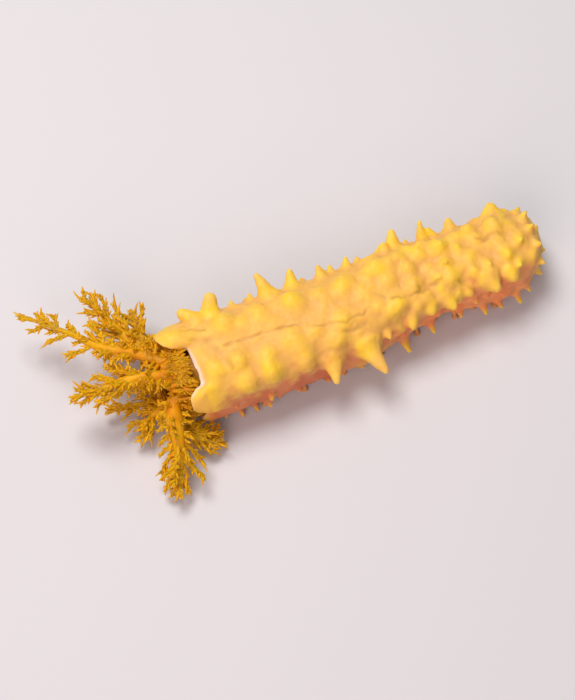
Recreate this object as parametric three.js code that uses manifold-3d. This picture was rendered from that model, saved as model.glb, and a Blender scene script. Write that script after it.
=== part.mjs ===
// A yellow sea cucumber as a still, life-size model, lying on its sole with its tentacles spread.
// Millimetres. X runs from the mouth (-X) to the tail (+X), +Y is its right flank, +Z is up.
// The origin is on the floor, under the tube foot at the middle of the sole.

import * as THREE from 'three';
import Module from 'manifold-3d';

const wasm = await Module();
wasm.setup();

const vec = (x, y, z) => new THREE.Vector3(x, y, z);
const radians = THREE.MathUtils.degToRad;

// Driving dimensions

const gap = 0.3;                      // between neighbouring pieces, face to face
const soleLift = 0.55;                // the belly's height over the floor, on its tube feet
const floorClearance = 0.35;          // the lowest that a tentacle hangs

// The body wall: place along X, half width, half height, and where its axis runs across Y and
// over the floor. The body bends a little to its right towards the tail.
const wallStations = [
  [-19.9, 4.5, 3.6, 0.3, 4.45],
  [-18.6, 5.0, 3.9, 0.3, 4.45],
  [-14.0, 5.1, 3.95, 0.25, 4.5],
  [-8.0, 4.95, 3.95, 0.2, 4.5],
  [-3.0, 4.75, 3.85, 0.4, 4.4],
  [2.0, 4.35, 3.75, 0.8, 4.3],
  [7.0, 3.85, 3.6, 1.2, 4.15],
  [12.0, 4.05, 3.5, 1.05, 4.05],
  [15.5, 4.2, 3.4, 1.15, 3.95],
  [17.2, 3.7, 3.2, 1.25, 4.0],
  [18.6, 2.95, 2.75, 1.45, 4.15],
  [19.4, 2.15, 2.1, 1.6, 4.2],
];
const [frontX, tailX] = [wallStations[0][0], wallStations[wallStations.length - 1][0]];
const backSquareness = 2.5;           // superellipse power of the back and the flanks
const soleSquareness = 3.4;           // the sole is flatter, with a firmer edge
// The fold along the back: place along X, degrees round the wall
const crease = [[-17.5, 94], [-11.7, 93], [-7.4, 93], [-5.0, 114], [-1.9, 118], [0.5, 113], [3.0, 119],
  [5.2, 125], [7.5, 117], [10.0, 105], [14.5, 99]];
const creaseDepth = 0.25;
const creaseWidth = 8;                // degrees
const anusDepth = 0.5;

// Where the trunk is parted into its lengths
const trunkCuts = [
  ['trunk_front', frontX - 4, -10.95],
  ['trunk_fore_middle', -10.95, 1.08],
  ['trunk_hind_middle', 1.08, 10.0],
  ['trunk_rear', 10.0, 17.2],
  ['anal_cone', 17.2, tailX + 3],
];

// Swellings of the back: place along X, degrees round the wall (90 is straight up), height, radius
const mounds = [
  [-19.0, 56, 0.45, 1.3], [-15.2, 58, 0.6, 1.5], [-11.7, 56, 0.5, 1.3], [-8.2, 60, 0.55, 1.4],
  [-4.6, 66, 0.45, 1.1], [-1.9, 58, 0.5, 1.2], [1.4, 60, 0.5, 1.2], [3.6, 60, 0.55, 1.2],
  [6.2, 60, 0.5, 1.1], [8.7, 62, 0.45, 1.1], [11.6, 57, 0.5, 1.1], [15.3, 62, 0.5, 1.1],
  [-18.0, 121, 0.5, 1.4], [-15.2, 115, 0.45, 1.2], [-12.7, 134, 0.6, 1.3], [-8.7, 133, 0.6, 1.3],
  [-4.9, 135, 0.55, 1.2], [-2.6, 150, 0.5, 1.2], [1.7, 128, 0.5, 1.2], [4.4, 129, 0.5, 1.1],
  [8.3, 117, 0.45, 1.1], [11.2, 115, 0.45, 1.1], [15.2, 113, 0.45, 1.0], [-2.6, 195, 0.6, 2.3],
  [5.5, 153, 0.3, 1.1], [8.6, 152, 0.4, 1.2], [11.9, 144, 0.4, 1.2], [14.6, 146, 0.35, 1.1],
  [8.4, 180, -0.4, 1.7], [11.9, 172, -0.55, 1.9], [14.9, 172, -0.45, 1.7],
  [13.3, 33, -0.5, 1.2], [8.2, 196, -0.45, 1.7],
];

// Papillae that show in the photo: place along X, degrees round the wall, length, base radius,
// tip radius, lean towards +X, and the direction in which the tip points, in degrees
const shownPapillae = [
  [-18.1, 33, 2.1, 1.0, 0.45, -1.8, 32], [-16.1, 31, 2.4, 0.95, 0.58, 0.8, 34],
  [-13.7, 28, 0.9, 0.4, 0.15, 0.1, 28], [-11.65, 28, 0.9, 0.42, 0.15, 0.1, 28],
  [-9.8, 31, 2.9, 0.98, 0.2, -0.6, 34], [-7.0, 30, 2.1, 0.82, 0.22, 0.3, 32],
  [-3.8, 30, 1.4, 0.6, 0.18, 0.1, 30], [-2.6, 27, 1.0, 0.45, 0.15, 0.1, 26],
  [-0.9, 30, 1.3, 0.55, 0.18, 0.4, 30], [0.45, 27, 0.8, 0.42, 0.15, 0.1, 26],
  [3.3, 36, 1.4, 0.95, 0.3, 0.4, 36], [4.6, 30, 2.45, 0.95, 0.32, 0.4, 32],
  [6.0, 27, 1.0, 0.45, 0.15, 0.2, 28], [7.8, 33, 2.5, 0.64, 0.2, 0.3, 40],
  [9.1, 33, 1.5, 0.48, 0.18, -0.5, 40], [11.0, 31, 1.6, 0.85, 0.2, 0.2, 34],
  [12.6, 28, 0.5, 0.45, 0.16, 0.2, 28], [14.2, 30, 0.6, 0.5, 0.16, 0.2, 30],
  [15.8, 32, 1.5, 1.1, 0.34, 0.3, 34], [17.2, 30, 0.7, 0.6, 0.16, 0.2, 32],
  [18.3, 32, 0.5, 0.5, 0.16, 0.5, 30],
  [-15.3, 146, 0.8, 0.95, 0.5, -0.3, 160], [-12.6, 146, 0.7, 0.9, 0.45, -0.2, 155],
  [-8.9, 150, 0.6, 0.8, 0.35, 0.0, 160], [-6.1, 163, 2.6, 1.05, 0.14, -0.5, 186],
  [-2.0, 164, 3.5, 1.25, 0.16, 1.0, 190], [0.4, 158, 1.0, 0.5, 0.16, 0.1, 170],
  [3.3, 156, 1.4, 0.8, 0.16, -0.2, 184], [5.6, 152, 1.0, 0.85, 0.16, 0.0, 172],
  [7.7, 151, 1.6, 0.95, 0.16, 0.5, 182], [10.1, 149, 0.9, 0.8, 0.16, 0.0, 172],
  [12.6, 143, 1.6, 1.05, 0.16, 0.6, 178], [15.0, 145, 1.0, 0.85, 0.16, 0.2, 172],
  [2.5, 208, 1.9, 0.55, 0.26, 0.2, 196], [5.8, 208, 1.6, 0.5, 0.2, 0.1, 192],
  [9.3, 210, 1.1, 0.42, 0.15, 0.0, 194], [11.9, 208, 1.4, 0.45, 0.15, 0.0, 194],
  [13.6, 206, 1.2, 0.42, 0.15, 0.1, 192], [15.7, 206, 1.4, 0.45, 0.15, 0.1, 192],
  [17.0, 204, 1.1, 0.4, 0.15, 0.2, 190], [-16.3, 222, 1.6, 0.42, 0.2, 0.2, 200],
  [-14.7, 222, 1.6, 0.42, 0.2, 0.2, 200],
];

// Rows of papillae that the photo hides or shows only as bumps: degrees round the wall, first and
// last place along X, spacing, length, base radius
const papillaRows = [
  { angle: 62, from: -15.9, to: -2.0, step: 2.7, length: 0.4, radius: 0.75 },
  { angle: 63, from: 0.5, to: 17.2, step: 2.1, length: 0.55, radius: 0.78 },
  { angle: 121, from: -15.2, to: -2.0, step: 2.8, length: 0.4, radius: 0.75 },
  { angle: 120, from: 0.1, to: 17.0, step: 2.15, length: 0.5, radius: 0.78 },
  { angle: 8, from: -15.5, to: 16.0, step: 4.4, length: 0.8, radius: 0.42 },
  { angle: 178, from: -16.5, to: 15.0, step: 4.7, length: 0.8, radius: 0.42 },
  { angle: -29, from: -17.5, to: 17.0, step: 1.95, length: 1.5, radius: 0.52 },
  { angle: 217, from: -17.3, to: 0.5, step: 2.05, length: 0.9, radius: 0.45 },
];
const papillaSpread = 7;              // how far a papilla strays from its row, in degrees

// Valves round the mouth end: degrees round the wall, length, half width, tip's half width,
// how far the tip splays from the axis
const oralValves = [
  [41, 3.4, 1.75, 1.15, 0.6],
  [151, 2.2, 1.15, 0.75, 0.7],
  [-26, 1.7, 1.15, 0.5, 0.3],
  [206, 1.3, 1.0, 0.45, 0.3],
  [270, 1.2, 1.0, 0.4, 0.0],
];
const valveThickness = 0.34;          // of a valve, as a share of its width
const valveSeat = 0.93;               // where it stands, as a share of the wall's radius

// Points round the tail's end
const analPapillae = { inner: 5, outer: 9, length: 1.0, radius: 0.45 };

// Tube feet in three rows along the sole
const footRows = [-3.25, 0, 3.25];    // their places across the sole
const foot = { each: 7, spacing: 2.25, zigzag: 0.3, column: 0.27, disc: 0.45, discHeight: 0.2, splay: 0.5 };

// The collar and the mouth between the trunk and the tentacles
const collar = { front: -21.4, back: frontX - gap, neck: 2.7, rim: 3.35, height: 4.55 };
const mouth = { radius: 1.62, dome: 0.55, opening: 0.55 };

// Ten tentacles on a ring round the mouth. Each one's place on the ring is in degrees from
// straight up towards +Y, and its path starts on that ring. Its arms have a reach, an opening in
// degrees and a lean, by which those of one side are longer.
const ringRadius = 2.65;
const rootX = collar.front - gap;
const straightRoot = 0.5;             // a stem leaves the collar square to its face
const tentacles = [
  {
    name: 'tentacle_1', ring: 345, seed: 11, cuts: [0.26], root: 0.64, swell: 0.62, tip: 0.24, bare: 0.16,
    arms: 8, branches: 8, reach: 3.6, opening: 50, lean: 0,
    path: [[-23.2, 0.0, 7.2], [-24.9, 0.5, 7.3], [-26.8, 0.9, 7.3], [-28.9, 1.0, 7.0], [-30.8, 1.2, 6.6],
      [-32.4, 1.6, 6.2]],
  },
  {
    name: 'tentacle_2', ring: 25, seed: 23, cuts: [0.27, 0.58], root: 0.64, swell: 0.58, tip: 0.2, bare: 0.2,
    arms: 8, branches: 8, reach: 3.6, opening: 66, lean: 0,
    path: [[-23.1, 1.9, 7.0], [-24.7, 3.2, 7.2], [-26.7, 4.3, 7.4], [-28.4, 5.7, 7.2], [-29.9, 7.6, 6.8],
      [-31.3, 9.1, 6.4], [-32.9, 10.8, 6.0], [-34.7, 12.6, 5.6]],
  },
  {
    name: 'tentacle_3', ring: 63, seed: 37, cuts: [0.27], root: 0.64, swell: 0.66, tip: 0.24, bare: 0.16,
    arms: 9, branches: 8, reach: 3.8, opening: 46, lean: 0.1,
    path: [[-23.2, 3.2, 5.5], [-24.3, 4.6, 5.6], [-25.2, 6.2, 5.8], [-26.0, 8.0, 6.0], [-26.9, 10.0, 6.1],
      [-27.8, 11.9, 6.0]],
  },
  {
    name: 'tentacle_4', ring: 101, seed: 41, cuts: [0.38], root: 0.64, swell: 0.6, tip: 0.24, bare: 0.25,
    arms: 6, branches: 5, reach: 3.2, opening: 46, lean: 0.1,
    path: [[-23.1, 3.6, 3.8], [-23.3, 5.4, 3.7], [-23.4, 7.2, 3.9], [-23.6, 9.2, 4.2]],
  },
  {
    name: 'tentacle_5', ring: 139, seed: 53, cuts: [0.4], root: 0.64, swell: 0.56, tip: 0.24, bare: 0.3,
    arms: 4, branches: 4, reach: 2.4, opening: 50, lean: 0,
    path: [[-23.2, 2.9, 2.0], [-23.3, 4.7, 1.6], [-23.3, 6.5, 1.5], [-23.6, 8.2, 1.6]],
  },
  {
    name: 'tentacle_6', ring: 168, seed: 67, cuts: [], root: 0.4, swell: 0.4, tip: 0.22, bare: 0.25,
    arms: 3, branches: 3, reach: 1.9, opening: 50, lean: 0,
    path: [[-24.3, 1.0, 1.6], [-25.7, 2.9, 1.6], [-26.8, 4.2, 1.8], [-28.0, 5.4, 1.9]],
  },
  {
    name: 'tentacle_7', ring: 194, seed: 71, cuts: [], root: 0.4, swell: 0.4, tip: 0.22, bare: 0.25,
    arms: 3, branches: 3, reach: 1.9, opening: 50, lean: 0,
    path: [[-24.4, -0.4, 1.5], [-26.4, 0.2, 1.5], [-28.1, 0.4, 1.6], [-29.6, 0.3, 1.7]],
  },
  {
    name: 'tentacle_8', ring: 224, seed: 83, cuts: [0.3], root: 0.64, swell: 0.6, tip: 0.24, bare: 0.18,
    arms: 6, branches: 6, reach: 3.0, opening: 50, lean: 0,
    path: [[-23.4, -1.7, 3.0], [-24.9, -1.9, 2.9], [-26.1, -2.6, 2.3], [-27.0, -3.5, 1.6]],
  },
  {
    name: 'tentacle_9', ring: 264, seed: 97, cuts: [0.36], root: 0.64, swell: 0.58, tip: 0.24, bare: 0.2,
    arms: 6, branches: 5, reach: 3.1, opening: 52, lean: 0,
    path: [[-23.2, -3.3, 4.1], [-22.9, -4.9, 3.3], [-21.8, -5.9, 2.4], [-20.5, -6.6, 1.8], [-19.3, -6.8, 1.6]],
  },
  {
    name: 'tentacle_10', ring: 305, seed: 109, cuts: [0.3], root: 0.64, swell: 0.95, tip: 0.24, bare: 0.16,
    arms: 8, branches: 8, reach: 4.4, opening: 50, lean: -0.1,
    path: [[-23.2, -3.0, 6.1], [-23.6, -4.7, 5.6], [-23.9, -6.3, 4.7], [-24.3, -7.9, 3.6], [-25.0, -9.5, 2.6],
      [-25.8, -10.7, 1.8]],
  },
];
// Long arms to the two sides of a stem and short branches between them: how far they stray out of
// the level fan in degrees, their facets, how far they bend, and the last place along the stem
const arm = { fan: 20, steps: 3, bend: 0.45, last: 0.86 };
const branch = { opening: 55, fan: 60, steps: 2, bend: 0.5, reach: 0.55, last: 0.97 };
const branchRadius = { share: 0.6, most: 0.38, least: 0.27, tip: 0.15 };
const twig = { perLength: 0.8, length: 1.2, radius: 0.3, opening: 48 };
const stemGap = 0.34;                 // along a stem's middle, so that a bend's inside keeps about 0.3
const stemStep = 1.5;                 // length of a stem's facets

// Colours
const bodyMaterial = new THREE.MeshStandardMaterial({ color: '#f2b62f', roughness: 0.55, metalness: 0 });
const collarMaterial = new THREE.MeshStandardMaterial({ color: '#e3a018', roughness: 0.5, metalness: 0 });
const tentacleMaterial = new THREE.MeshStandardMaterial({ color: '#dca000', roughness: 0.45, metalness: 0 });

// Chance that repeats the same on every run

function seededRandom(seed) {
  let state = seed;
  return () => {
    state = (Math.imul(state, 1664525) + 1013904223) >>> 0;
    return state / 4294967296;
  };
}

function around(random, middle, spread) {
  return middle + spread * (2 * random() - 1);
}

// Solids and meshes

// A closed skin over rings of equally many points, running towards the last ring or a last point.
function loft(rings, tip = null) {
  const sides = rings[0].length;
  const points = rings.flat();
  const triangles = [];
  for (let ring = 0; ring + 1 < rings.length; ring += 1) {
    for (let side = 0; side < sides; side += 1) {
      const [a, b] = [ring * sides + side, ring * sides + ((side + 1) % sides)];
      triangles.push(a, b, b + sides, a, b + sides, a + sides);
    }
  }
  const last = (rings.length - 1) * sides;
  const middle = points.push(centreOf(rings[0]), tip ?? centreOf(rings.at(-1))) - 2;
  for (let side = 0; side < sides; side += 1) {
    const next = (side + 1) % sides;
    triangles.push(middle, next, side, middle + 1, last + side, last + next);
  }
  return solidOf(points, triangles);
}

function centreOf(ring) {
  return ring.reduce((sum, point) => sum.addScaledVector(point, 1 / ring.length), vec(0, 0, 0));
}

function solidOf(points, triangles) {
  const vertProperties = new Float32Array(points.flatMap((point) => point.toArray()));
  const mesh = new wasm.Mesh({ numProp: 3, vertProperties, triVerts: new Uint32Array(triangles) });
  return new wasm.Manifold(mesh);
}

// Joins the pieces of one node and keeps its one closed surface, without slivers.
const sliver = 0.03;
function join(pieces) {
  const joined = wasm.Manifold.union(pieces).simplify(sliver);
  return largest(joined);
}

function largest(solid) {
  return solid.decompose().sort((a, b) => b.volume() - a.volume())[0];
}

function meshOf(name, solid, material, anchor) {
  const { vertProperties, triVerts } = solid.getMesh();
  const geometry = new THREE.BufferGeometry();
  geometry.setAttribute('position', new THREE.BufferAttribute(vertProperties, 3));
  geometry.setIndex(new THREE.BufferAttribute(triVerts, 1));
  geometry.translate(-anchor.x, -anchor.y, -anchor.z);
  geometry.computeVertexNormals();
  const mesh = new THREE.Mesh(geometry, material);
  mesh.name = name;
  mesh.position.copy(anchor);
  return mesh;
}

// A ring of points across a direction of travel; the second radius squashes it along `flat`.
function ringAcross(centre, direction, radius, sides, flat, squash = 1) {
  const along = direction.clone().normalize();
  const up = flat.clone().addScaledVector(along, -flat.dot(along)).normalize();
  const side = new THREE.Vector3().crossVectors(along, up);
  return Array.from({ length: sides }, (_, index) => {
    const turn = (2 * Math.PI * index) / sides;
    return centre.clone()
      .addScaledVector(up, radius * squash * Math.cos(turn))
      .addScaledVector(side, radius * Math.sin(turn));
  });
}

// The direction of travel at each of a row of points.
function headings(points) {
  return points.map((_, index) => {
    const before = points[Math.max(index - 1, 0)];
    const after = points[Math.min(index + 1, points.length - 1)];
    return after.clone().sub(before).normalize();
  });
}

// A round limb through points with a radius at each; a pointed one ends in its last point.
function limb(points, radii, sides, pointed = false, directions = headings(points)) {
  let up = Math.abs(directions[0].z) < 0.9 ? vec(0, 0, 1) : vec(1, 0, 0);
  const rings = points.map((point, index) => {
    const direction = directions[index];
    up = up.clone().addScaledVector(direction, -up.dot(direction)).normalize();
    return ringAcross(point, direction, radii[index], sides, up);
  });
  return pointed ? loft(rings.slice(0, -1), points.at(-1)) : loft(rings);
}

// The body wall

// Smooth reading of one column of a table whose first column is the place along X.
function reading(table, x, column) {
  const last = table.length - 1;
  let index = 1;
  while (index < last && x > table[index][0]) {
    index += 1;
  }
  const slope = (at) => {
    const before = table[Math.max(at - 1, 0)];
    const after = table[Math.min(at + 1, last)];
    return (after[column] - before[column]) / (after[0] - before[0]);
  };
  const [from, to] = [table[index - 1], table[index]];
  const span = to[0] - from[0];
  const u = THREE.MathUtils.clamp((x - from[0]) / span, 0, 1);
  return from[column] * (2 * u ** 3 - 3 * u ** 2 + 1) + slope(index - 1) * span * (u ** 3 - 2 * u ** 2 + u)
    + to[column] * (3 * u ** 2 - 2 * u ** 3) + slope(index) * span * (u ** 3 - u ** 2);
}

function wallAxis(x) {
  return vec(x, reading(wallStations, x, 3), reading(wallStations, x, 4));
}

function wallRadius(x, angle) {
  const [halfWidth, halfHeight] = [reading(wallStations, x, 1), reading(wallStations, x, 2)];
  const [across, upward] = [Math.cos(angle), Math.sin(angle)];
  const power = upward < 0 ? soleSquareness : backSquareness;
  const sum = Math.abs(across / halfWidth) ** power + Math.abs(upward / halfHeight) ** power;
  const plain = sum ** (-1 / power);
  let swelling = 0;
  for (const [moundX, moundAngle, height, radius] of mounds) {
    const sideways = plain * Math.abs(angle - radians(moundAngle));
    const distance = Math.hypot(x - moundX, sideways) / radius;
    swelling += height * Math.exp(-1.4 * distance ** 2);
  }
  const fromCrease = (angle - radians(reading(crease, x, 1))) / radians(creaseWidth);
  return plain + swelling - creaseDepth * Math.exp(-(fromCrease ** 2));
}

function wallPoint(x, angle, share = 1) {
  const radius = wallRadius(x, angle) * share;
  return wallAxis(x).add(vec(0, radius * Math.cos(angle), radius * Math.sin(angle)));
}

function wallSolid() {
  const rounds = 36;
  const sides = 24;
  const ringAt = (x, share, shift = 0) => Array.from({ length: sides }, (_, index) => {
    const angle = (2 * Math.PI * index) / sides - Math.PI / 2;
    const point = wallPoint(x, angle, share);
    point.x += shift;
    return point;
  });
  const rings = [ringAt(frontX, 0.93)];
  for (let round = 0; round <= rounds; round += 1) {
    rings.push(ringAt(THREE.MathUtils.lerp(frontX + 0.35, tailX, round / rounds), 1));
  }
  rings.push(ringAt(tailX, 0.62, 0.12), ringAt(tailX, 0.36, -anusDepth));
  return loft(rings);
}

// Papillae, valves and tube feet, each sunk into the wall

const sunk = 0.7;                     // depth of a root under the skin
const bluntTip = 0.21;                // a papilla with a thicker tip ends flat, the others in a point

function outward(angle, lean) {
  return vec(lean, Math.cos(angle), Math.sin(angle));
}

function papilla(root, direction, length, radius, tipRadius) {
  const large = length > 1.25;
  const heights = large ? [-sunk / length, 0.45, 1] : [-sunk / length, 1];
  const points = heights.map((height) => root.clone().addScaledVector(direction, height * length));
  const shrink = (height) => (large ? Math.max(height, 0) ** 0.75 : height);
  const radii = heights.map((height) => THREE.MathUtils.lerp(radius, tipRadius, shrink(height)));
  return limb(points, radii, large ? 6 : 5, tipRadius < bluntTip);
}

// Every papilla as [root, direction, length, base radius, tip radius].
function papillaPlaces() {
  const places = [];
  for (const [x, angle, length, radius, tipRadius, lean, pointing] of shownPapillae) {
    const root = wallPoint(x, radians(angle));
    const direction = outward(radians(pointing), lean / length).normalize();
    places.push([root, direction, length, radius, tipRadius]);
  }
  const random = seededRandom(5);
  for (const row of papillaRows) {
    for (let x = row.from; x < row.to; x += row.step) {
      const angle = radians(around(random, row.angle, papillaSpread));
      const root = wallPoint(around(random, x, 0.35 * row.step), angle);
      const direction = outward(angle, around(random, 0.1, 0.25)).normalize();
      const size = around(random, 1, 0.3);
      const free = places.every(([other, , , radius]) => other.distanceTo(root) > 0.85 * radius + row.radius);
      if (free) {
        places.push([root, direction, row.length * size, row.radius * size, 0.16]);
      }
    }
  }
  for (const [count, share, length] of [[analPapillae.inner, 0.78, 0.7], [analPapillae.outer, 1, 1]]) {
    for (let index = 0; index < count; index += 1) {
      const angle = around(random, (2 * Math.PI * (index + 0.5)) / count - Math.PI / 2, 0.15);
      const x = share < 1 ? tailX : tailX - 0.75;
      const root = wallPoint(x, angle, share);
      const direction = outward(angle, share < 1 ? 1.7 : 0.8).normalize();
      places.push([root, direction, analPapillae.length * length, analPapillae.radius, 0.15]);
    }
  }
  return places;
}

// Every valve as [root, tip, half width, tip's half width].
function valvePlaces() {
  return oralValves.map(([degrees, length, width, tipWidth, splay]) => {
    const angle = radians(degrees);
    const root = wallPoint(frontX + 0.9, angle, valveSeat);
    const tip = root.clone().add(vec(-length, splay * Math.cos(angle), splay * Math.sin(angle)));
    return [root, tip, width, tipWidth];
  });
}

function valve([root, tip, width, tipWidth]) {
  const direction = tip.clone().sub(root);
  const flat = root.clone().sub(wallAxis(root.x));
  const rings = [-0.25, 0.3, 0.75, 1].map((height, index) => {
    const ringWidth = [width, width, 0.7 * width + 0.3 * tipWidth, tipWidth][index];
    const centre = root.clone().addScaledVector(direction, height);
    return ringAcross(centre, direction, ringWidth, 8, flat, valveThickness);
  });
  return loft(rings);
}

// The middle row zigzags by as much as the axis stands off at the middle of the sole, so that
// one of its feet is at the origin.
function footPlaces() {
  const places = [];
  const middleZigzag = wallAxis(0).y;
  footRows.forEach((row) => {
    for (let index = -foot.each; index <= foot.each; index += 1) {
      const x = index * foot.spacing;
      const zig = (row === 0 ? middleZigzag : foot.zigzag) * (index % 2 === 0 ? -1 : 1);
      const narrowing = reading(wallStations, x, 1) / reading(wallStations, 0, 1);
      places.push({ x, y: wallAxis(x).y + row * narrowing + zig, splay: foot.splay * Math.sign(row) });
    }
  });
  return places;
}

function tubeFoot({ x, y, splay }) {
  const rings = [
    [soleLift + sunk, foot.column, 0],
    [foot.discHeight, foot.column, 0.75],
    [0, foot.disc, 1],
  ].map(([height, radius, share]) => {
    const centre = vec(x, y + splay * share, height);
    return ringAcross(centre, vec(0, 0, -1), radius, 5, vec(1, 0, 0));
  });
  return loft(rings);
}

// One solid for the whole trunk, then parted by thin cuts across X.
function trunkMeshes(papillae, valves) {
  const pieces = [wallSolid()];
  papillae.forEach((place) => pieces.push(papilla(...place)));
  valves.forEach((place) => pieces.push(valve(place)));
  footPlaces().forEach((place) => pieces.push(tubeFoot(place)));
  const whole = wasm.Manifold.union(pieces);
  return trunkCuts.map(([name, from, to], index) => {
    const first = index === 0;
    const last = index === trunkCuts.length - 1;
    let piece = whole;
    if (!first) {
      piece = piece.trimByPlane([1, 0, 0], from + gap / 2);
    }
    if (!last) {
      piece = piece.trimByPlane([-1, 0, 0], -(to - gap / 2));
    }
    const anchor = vec(first ? frontX : from, 0, soleLift);
    return meshOf(name, largest(piece.simplify(sliver)), bodyMaterial, anchor);
  });
}

// Collar and mouth

function collarMesh() {
  const middle = (collar.front + collar.back) / 2;
  const rings = [
    [collar.back, collar.neck + 0.1], [middle + 0.4, collar.neck], [middle - 0.5, collar.neck + 0.12],
    [collar.front + 0.25, collar.rim], [collar.front, collar.rim],
  ].map(([x, radius]) => ringAcross(vec(x, 0, collar.height), vec(-1, 0, 0), radius, 24, vec(0, 0, 1)));
  return meshOf('collar', loft(rings), collarMaterial, vec(collar.back, 0, collar.height));
}

function mouthMesh() {
  const rings = [
    [0, mouth.radius], [0.5 * mouth.dome, 0.9 * mouth.radius], [mouth.dome, mouth.opening + 0.3],
    [0.75 * mouth.dome, mouth.opening], [0.3 * mouth.dome, 0.3 * mouth.opening],
  ].map(([rise, radius]) => {
    const centre = vec(rootX - rise, 0, collar.height);
    return ringAcross(centre, vec(-1, 0, 0), radius, 14, vec(0, 0, 1));
  });
  return meshOf('mouth', loft(rings), collarMaterial, vec(rootX, 0, collar.height));
}

// Tentacles

// Limbs already placed, so that a new one can keep clear of them.
const placed = [];

function segmentDistance(a, b, c, d) {
  const u = b.clone().sub(a);
  const v = d.clone().sub(c);
  const w = a.clone().sub(c);
  const [uu, uv, vv, uw, vw] = [u.dot(u), u.dot(v), v.dot(v), u.dot(w), v.dot(w)];
  const clamp = (value) => THREE.MathUtils.clamp(value, 0, 1);
  const spread = uu * vv - uv * uv;
  let s = spread > 1e-9 ? clamp((uv * vw - vv * uw) / spread) : 0;
  const t = vv > 1e-9 ? clamp((uv * s + vw) / vv) : 0;
  s = uu > 1e-9 ? clamp((uv * t - uw) / uu) : 0;
  return a.clone().addScaledVector(u, s).distanceTo(c.clone().addScaledVector(v, t));
}

function place(points, radii, owner, kin) {
  for (let index = 0; index + 1 < points.length; index += 1) {
    const radius = Math.max(radii[index], radii[index + 1]);
    placed.push({ a: points[index], b: points[index + 1], radius, owner, kin });
  }
}

const kinClearance = 0.03;            // between limbs of one node
function isFree(points, radii, owner, kin) {
  for (let index = 0; index < points.length; index += 1) {
    const [point, radius] = [points[index], radii[index]];
    const fromAxis = Math.hypot(point.y, point.z - collar.height);
    if (point.z < radius + floorClearance) {
      return false;
    }
    if (point.x > rootX - radius && fromAxis < collar.rim + radius + gap) {
      return false;
    }
    if (point.x > frontX - radius - gap) {
      const off = point.clone().sub(wallAxis(point.x));
      if (Math.hypot(off.y, off.z) < wallRadius(point.x, Math.atan2(off.z, off.y)) + radius + gap) {
        return false;
      }
    }
  }
  for (let index = 0; index + 1 < points.length; index += 1) {
    const radius = Math.max(radii[index], radii[index + 1]);
    for (const other of placed) {
      const same = other.owner === owner;
      const root = same && index === 0;
      const related = same && (other.kin === kin || kin.startsWith(other.kin));
      const clearance = radius + other.radius + (same ? kinClearance : 1.1 * gap);
      const counted = !root && !related;
      if (counted && segmentDistance(points[index], points[index + 1], other.a, other.b) < clearance) {
        return false;
      }
    }
  }
  return true;
}

// Directions across a tangent, turned by an angle round it.
function sideways(tangent, turn) {
  const level = new THREE.Vector3().crossVectors(tangent, vec(0, 0, 1));
  if (level.length() < 0.1) {
    level.set(1, 0, 0);
  }
  level.normalize();
  const rising = new THREE.Vector3().crossVectors(level, tangent).normalize();
  return level.multiplyScalar(Math.cos(turn)).addScaledVector(rising, Math.sin(turn));
}

// A shoot that leaves `tangent` at an opening angle and bends back towards it.
function shoot(root, tangent, turn, opening, length, bend, steps) {
  const side = sideways(tangent, turn);
  const points = [root.clone()];
  for (let step = 1; step <= steps; step += 1) {
    const open = radians(opening) * (1 - (bend * step) / steps);
    const direction = tangent.clone().multiplyScalar(Math.cos(open)).addScaledVector(side, Math.sin(open));
    points.push(points[step - 1].clone().addScaledVector(direction, length / steps));
  }
  return points;
}

// Even steps between two values.
function taper(from, to, count) {
  return Array.from({ length: count }, (_, index) => THREE.MathUtils.lerp(from, to, index / (count - 1)));
}

function stemCurve(tentacle) {
  const ring = radians(tentacle.ring);
  const root = vec(rootX, ringRadius * Math.sin(ring), collar.height + ringRadius * Math.cos(ring));
  const out = root.clone().add(vec(-straightRoot, 0, 0));
  const beyond = tentacle.path.map((point) => vec(...point));
  return new THREE.CatmullRomCurve3([root, out, ...beyond], false, 'centripetal');
}

// Radius of a stem at a share of its length: even at the root, fullest at a third, thin at the tip.
function stemRadius(tentacle, share) {
  const full = 0.28;
  return share < full
    ? THREE.MathUtils.lerp(tentacle.root, tentacle.swell, share / full)
    : THREE.MathUtils.lerp(tentacle.swell, tentacle.tip, ((share - full) / (1 - full)) ** 1.15);
}

// Parts a stem into its lengths, with a gap between each two.
function stemLengths(tentacle) {
  const curve = stemCurve(tentacle);
  const whole = curve.getLength();
  const names = [[''], ['_stalk', '_plume'], ['_stalk', '_middle', '_plume']][tentacle.cuts.length];
  const ends = [0, ...tentacle.cuts, 1];
  return names.map((suffix, index) => {
    const from = ends[index] + (index > 0 ? stemGap / 2 / whole : 0);
    const to = ends[index + 1] - (index + 1 < names.length ? stemGap / 2 / whole : 0);
    const steps = Math.max(2, Math.round(((to - from) * whole) / stemStep));
    const shares = taper(from, to, steps + 1);
    if (index === 0) {
      shares.splice(1, 0, straightRoot / whole);
    }
    return {
      name: tentacle.name + suffix,
      from,
      to,
      points: shares.map((share) => curve.getPointAt(share)),
      directions: shares.map((share) => curve.getTangentAt(share)),
      radii: shares.map((share) => stemRadius(tentacle, share)),
      pieces: [],
    };
  });
}

function plantTentacle(tentacle) {
  const lengths = stemLengths(tentacle);
  lengths.forEach((length) => {
    length.pieces.push(limb(length.points, length.radii, 6, false, length.directions));
    place(length.points, length.radii, length.name, 'stem');
  });
  return { tentacle, lengths, curve: stemCurve(tentacle), limbs: [] };
}

// Tries turns and shorter lengths until a shoot stands free, and gives null when none does.
function findShoot(root, tangent, turn, opening, length, bend, radii, owner, kin) {
  for (const share of [1, 0.8, 0.62, 0.46]) {
    for (const nudge of [0, 18, -18, 36, -36, 60, -60, 95, -95, 135, -135]) {
      const turned = turn + radians(nudge);
      const points = shoot(root, tangent, turned, opening, length * share, bend, radii.length - 1);
      if (isFree(points, radii, owner, kin)) {
        return points;
      }
    }
  }
  return null;
}

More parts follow.
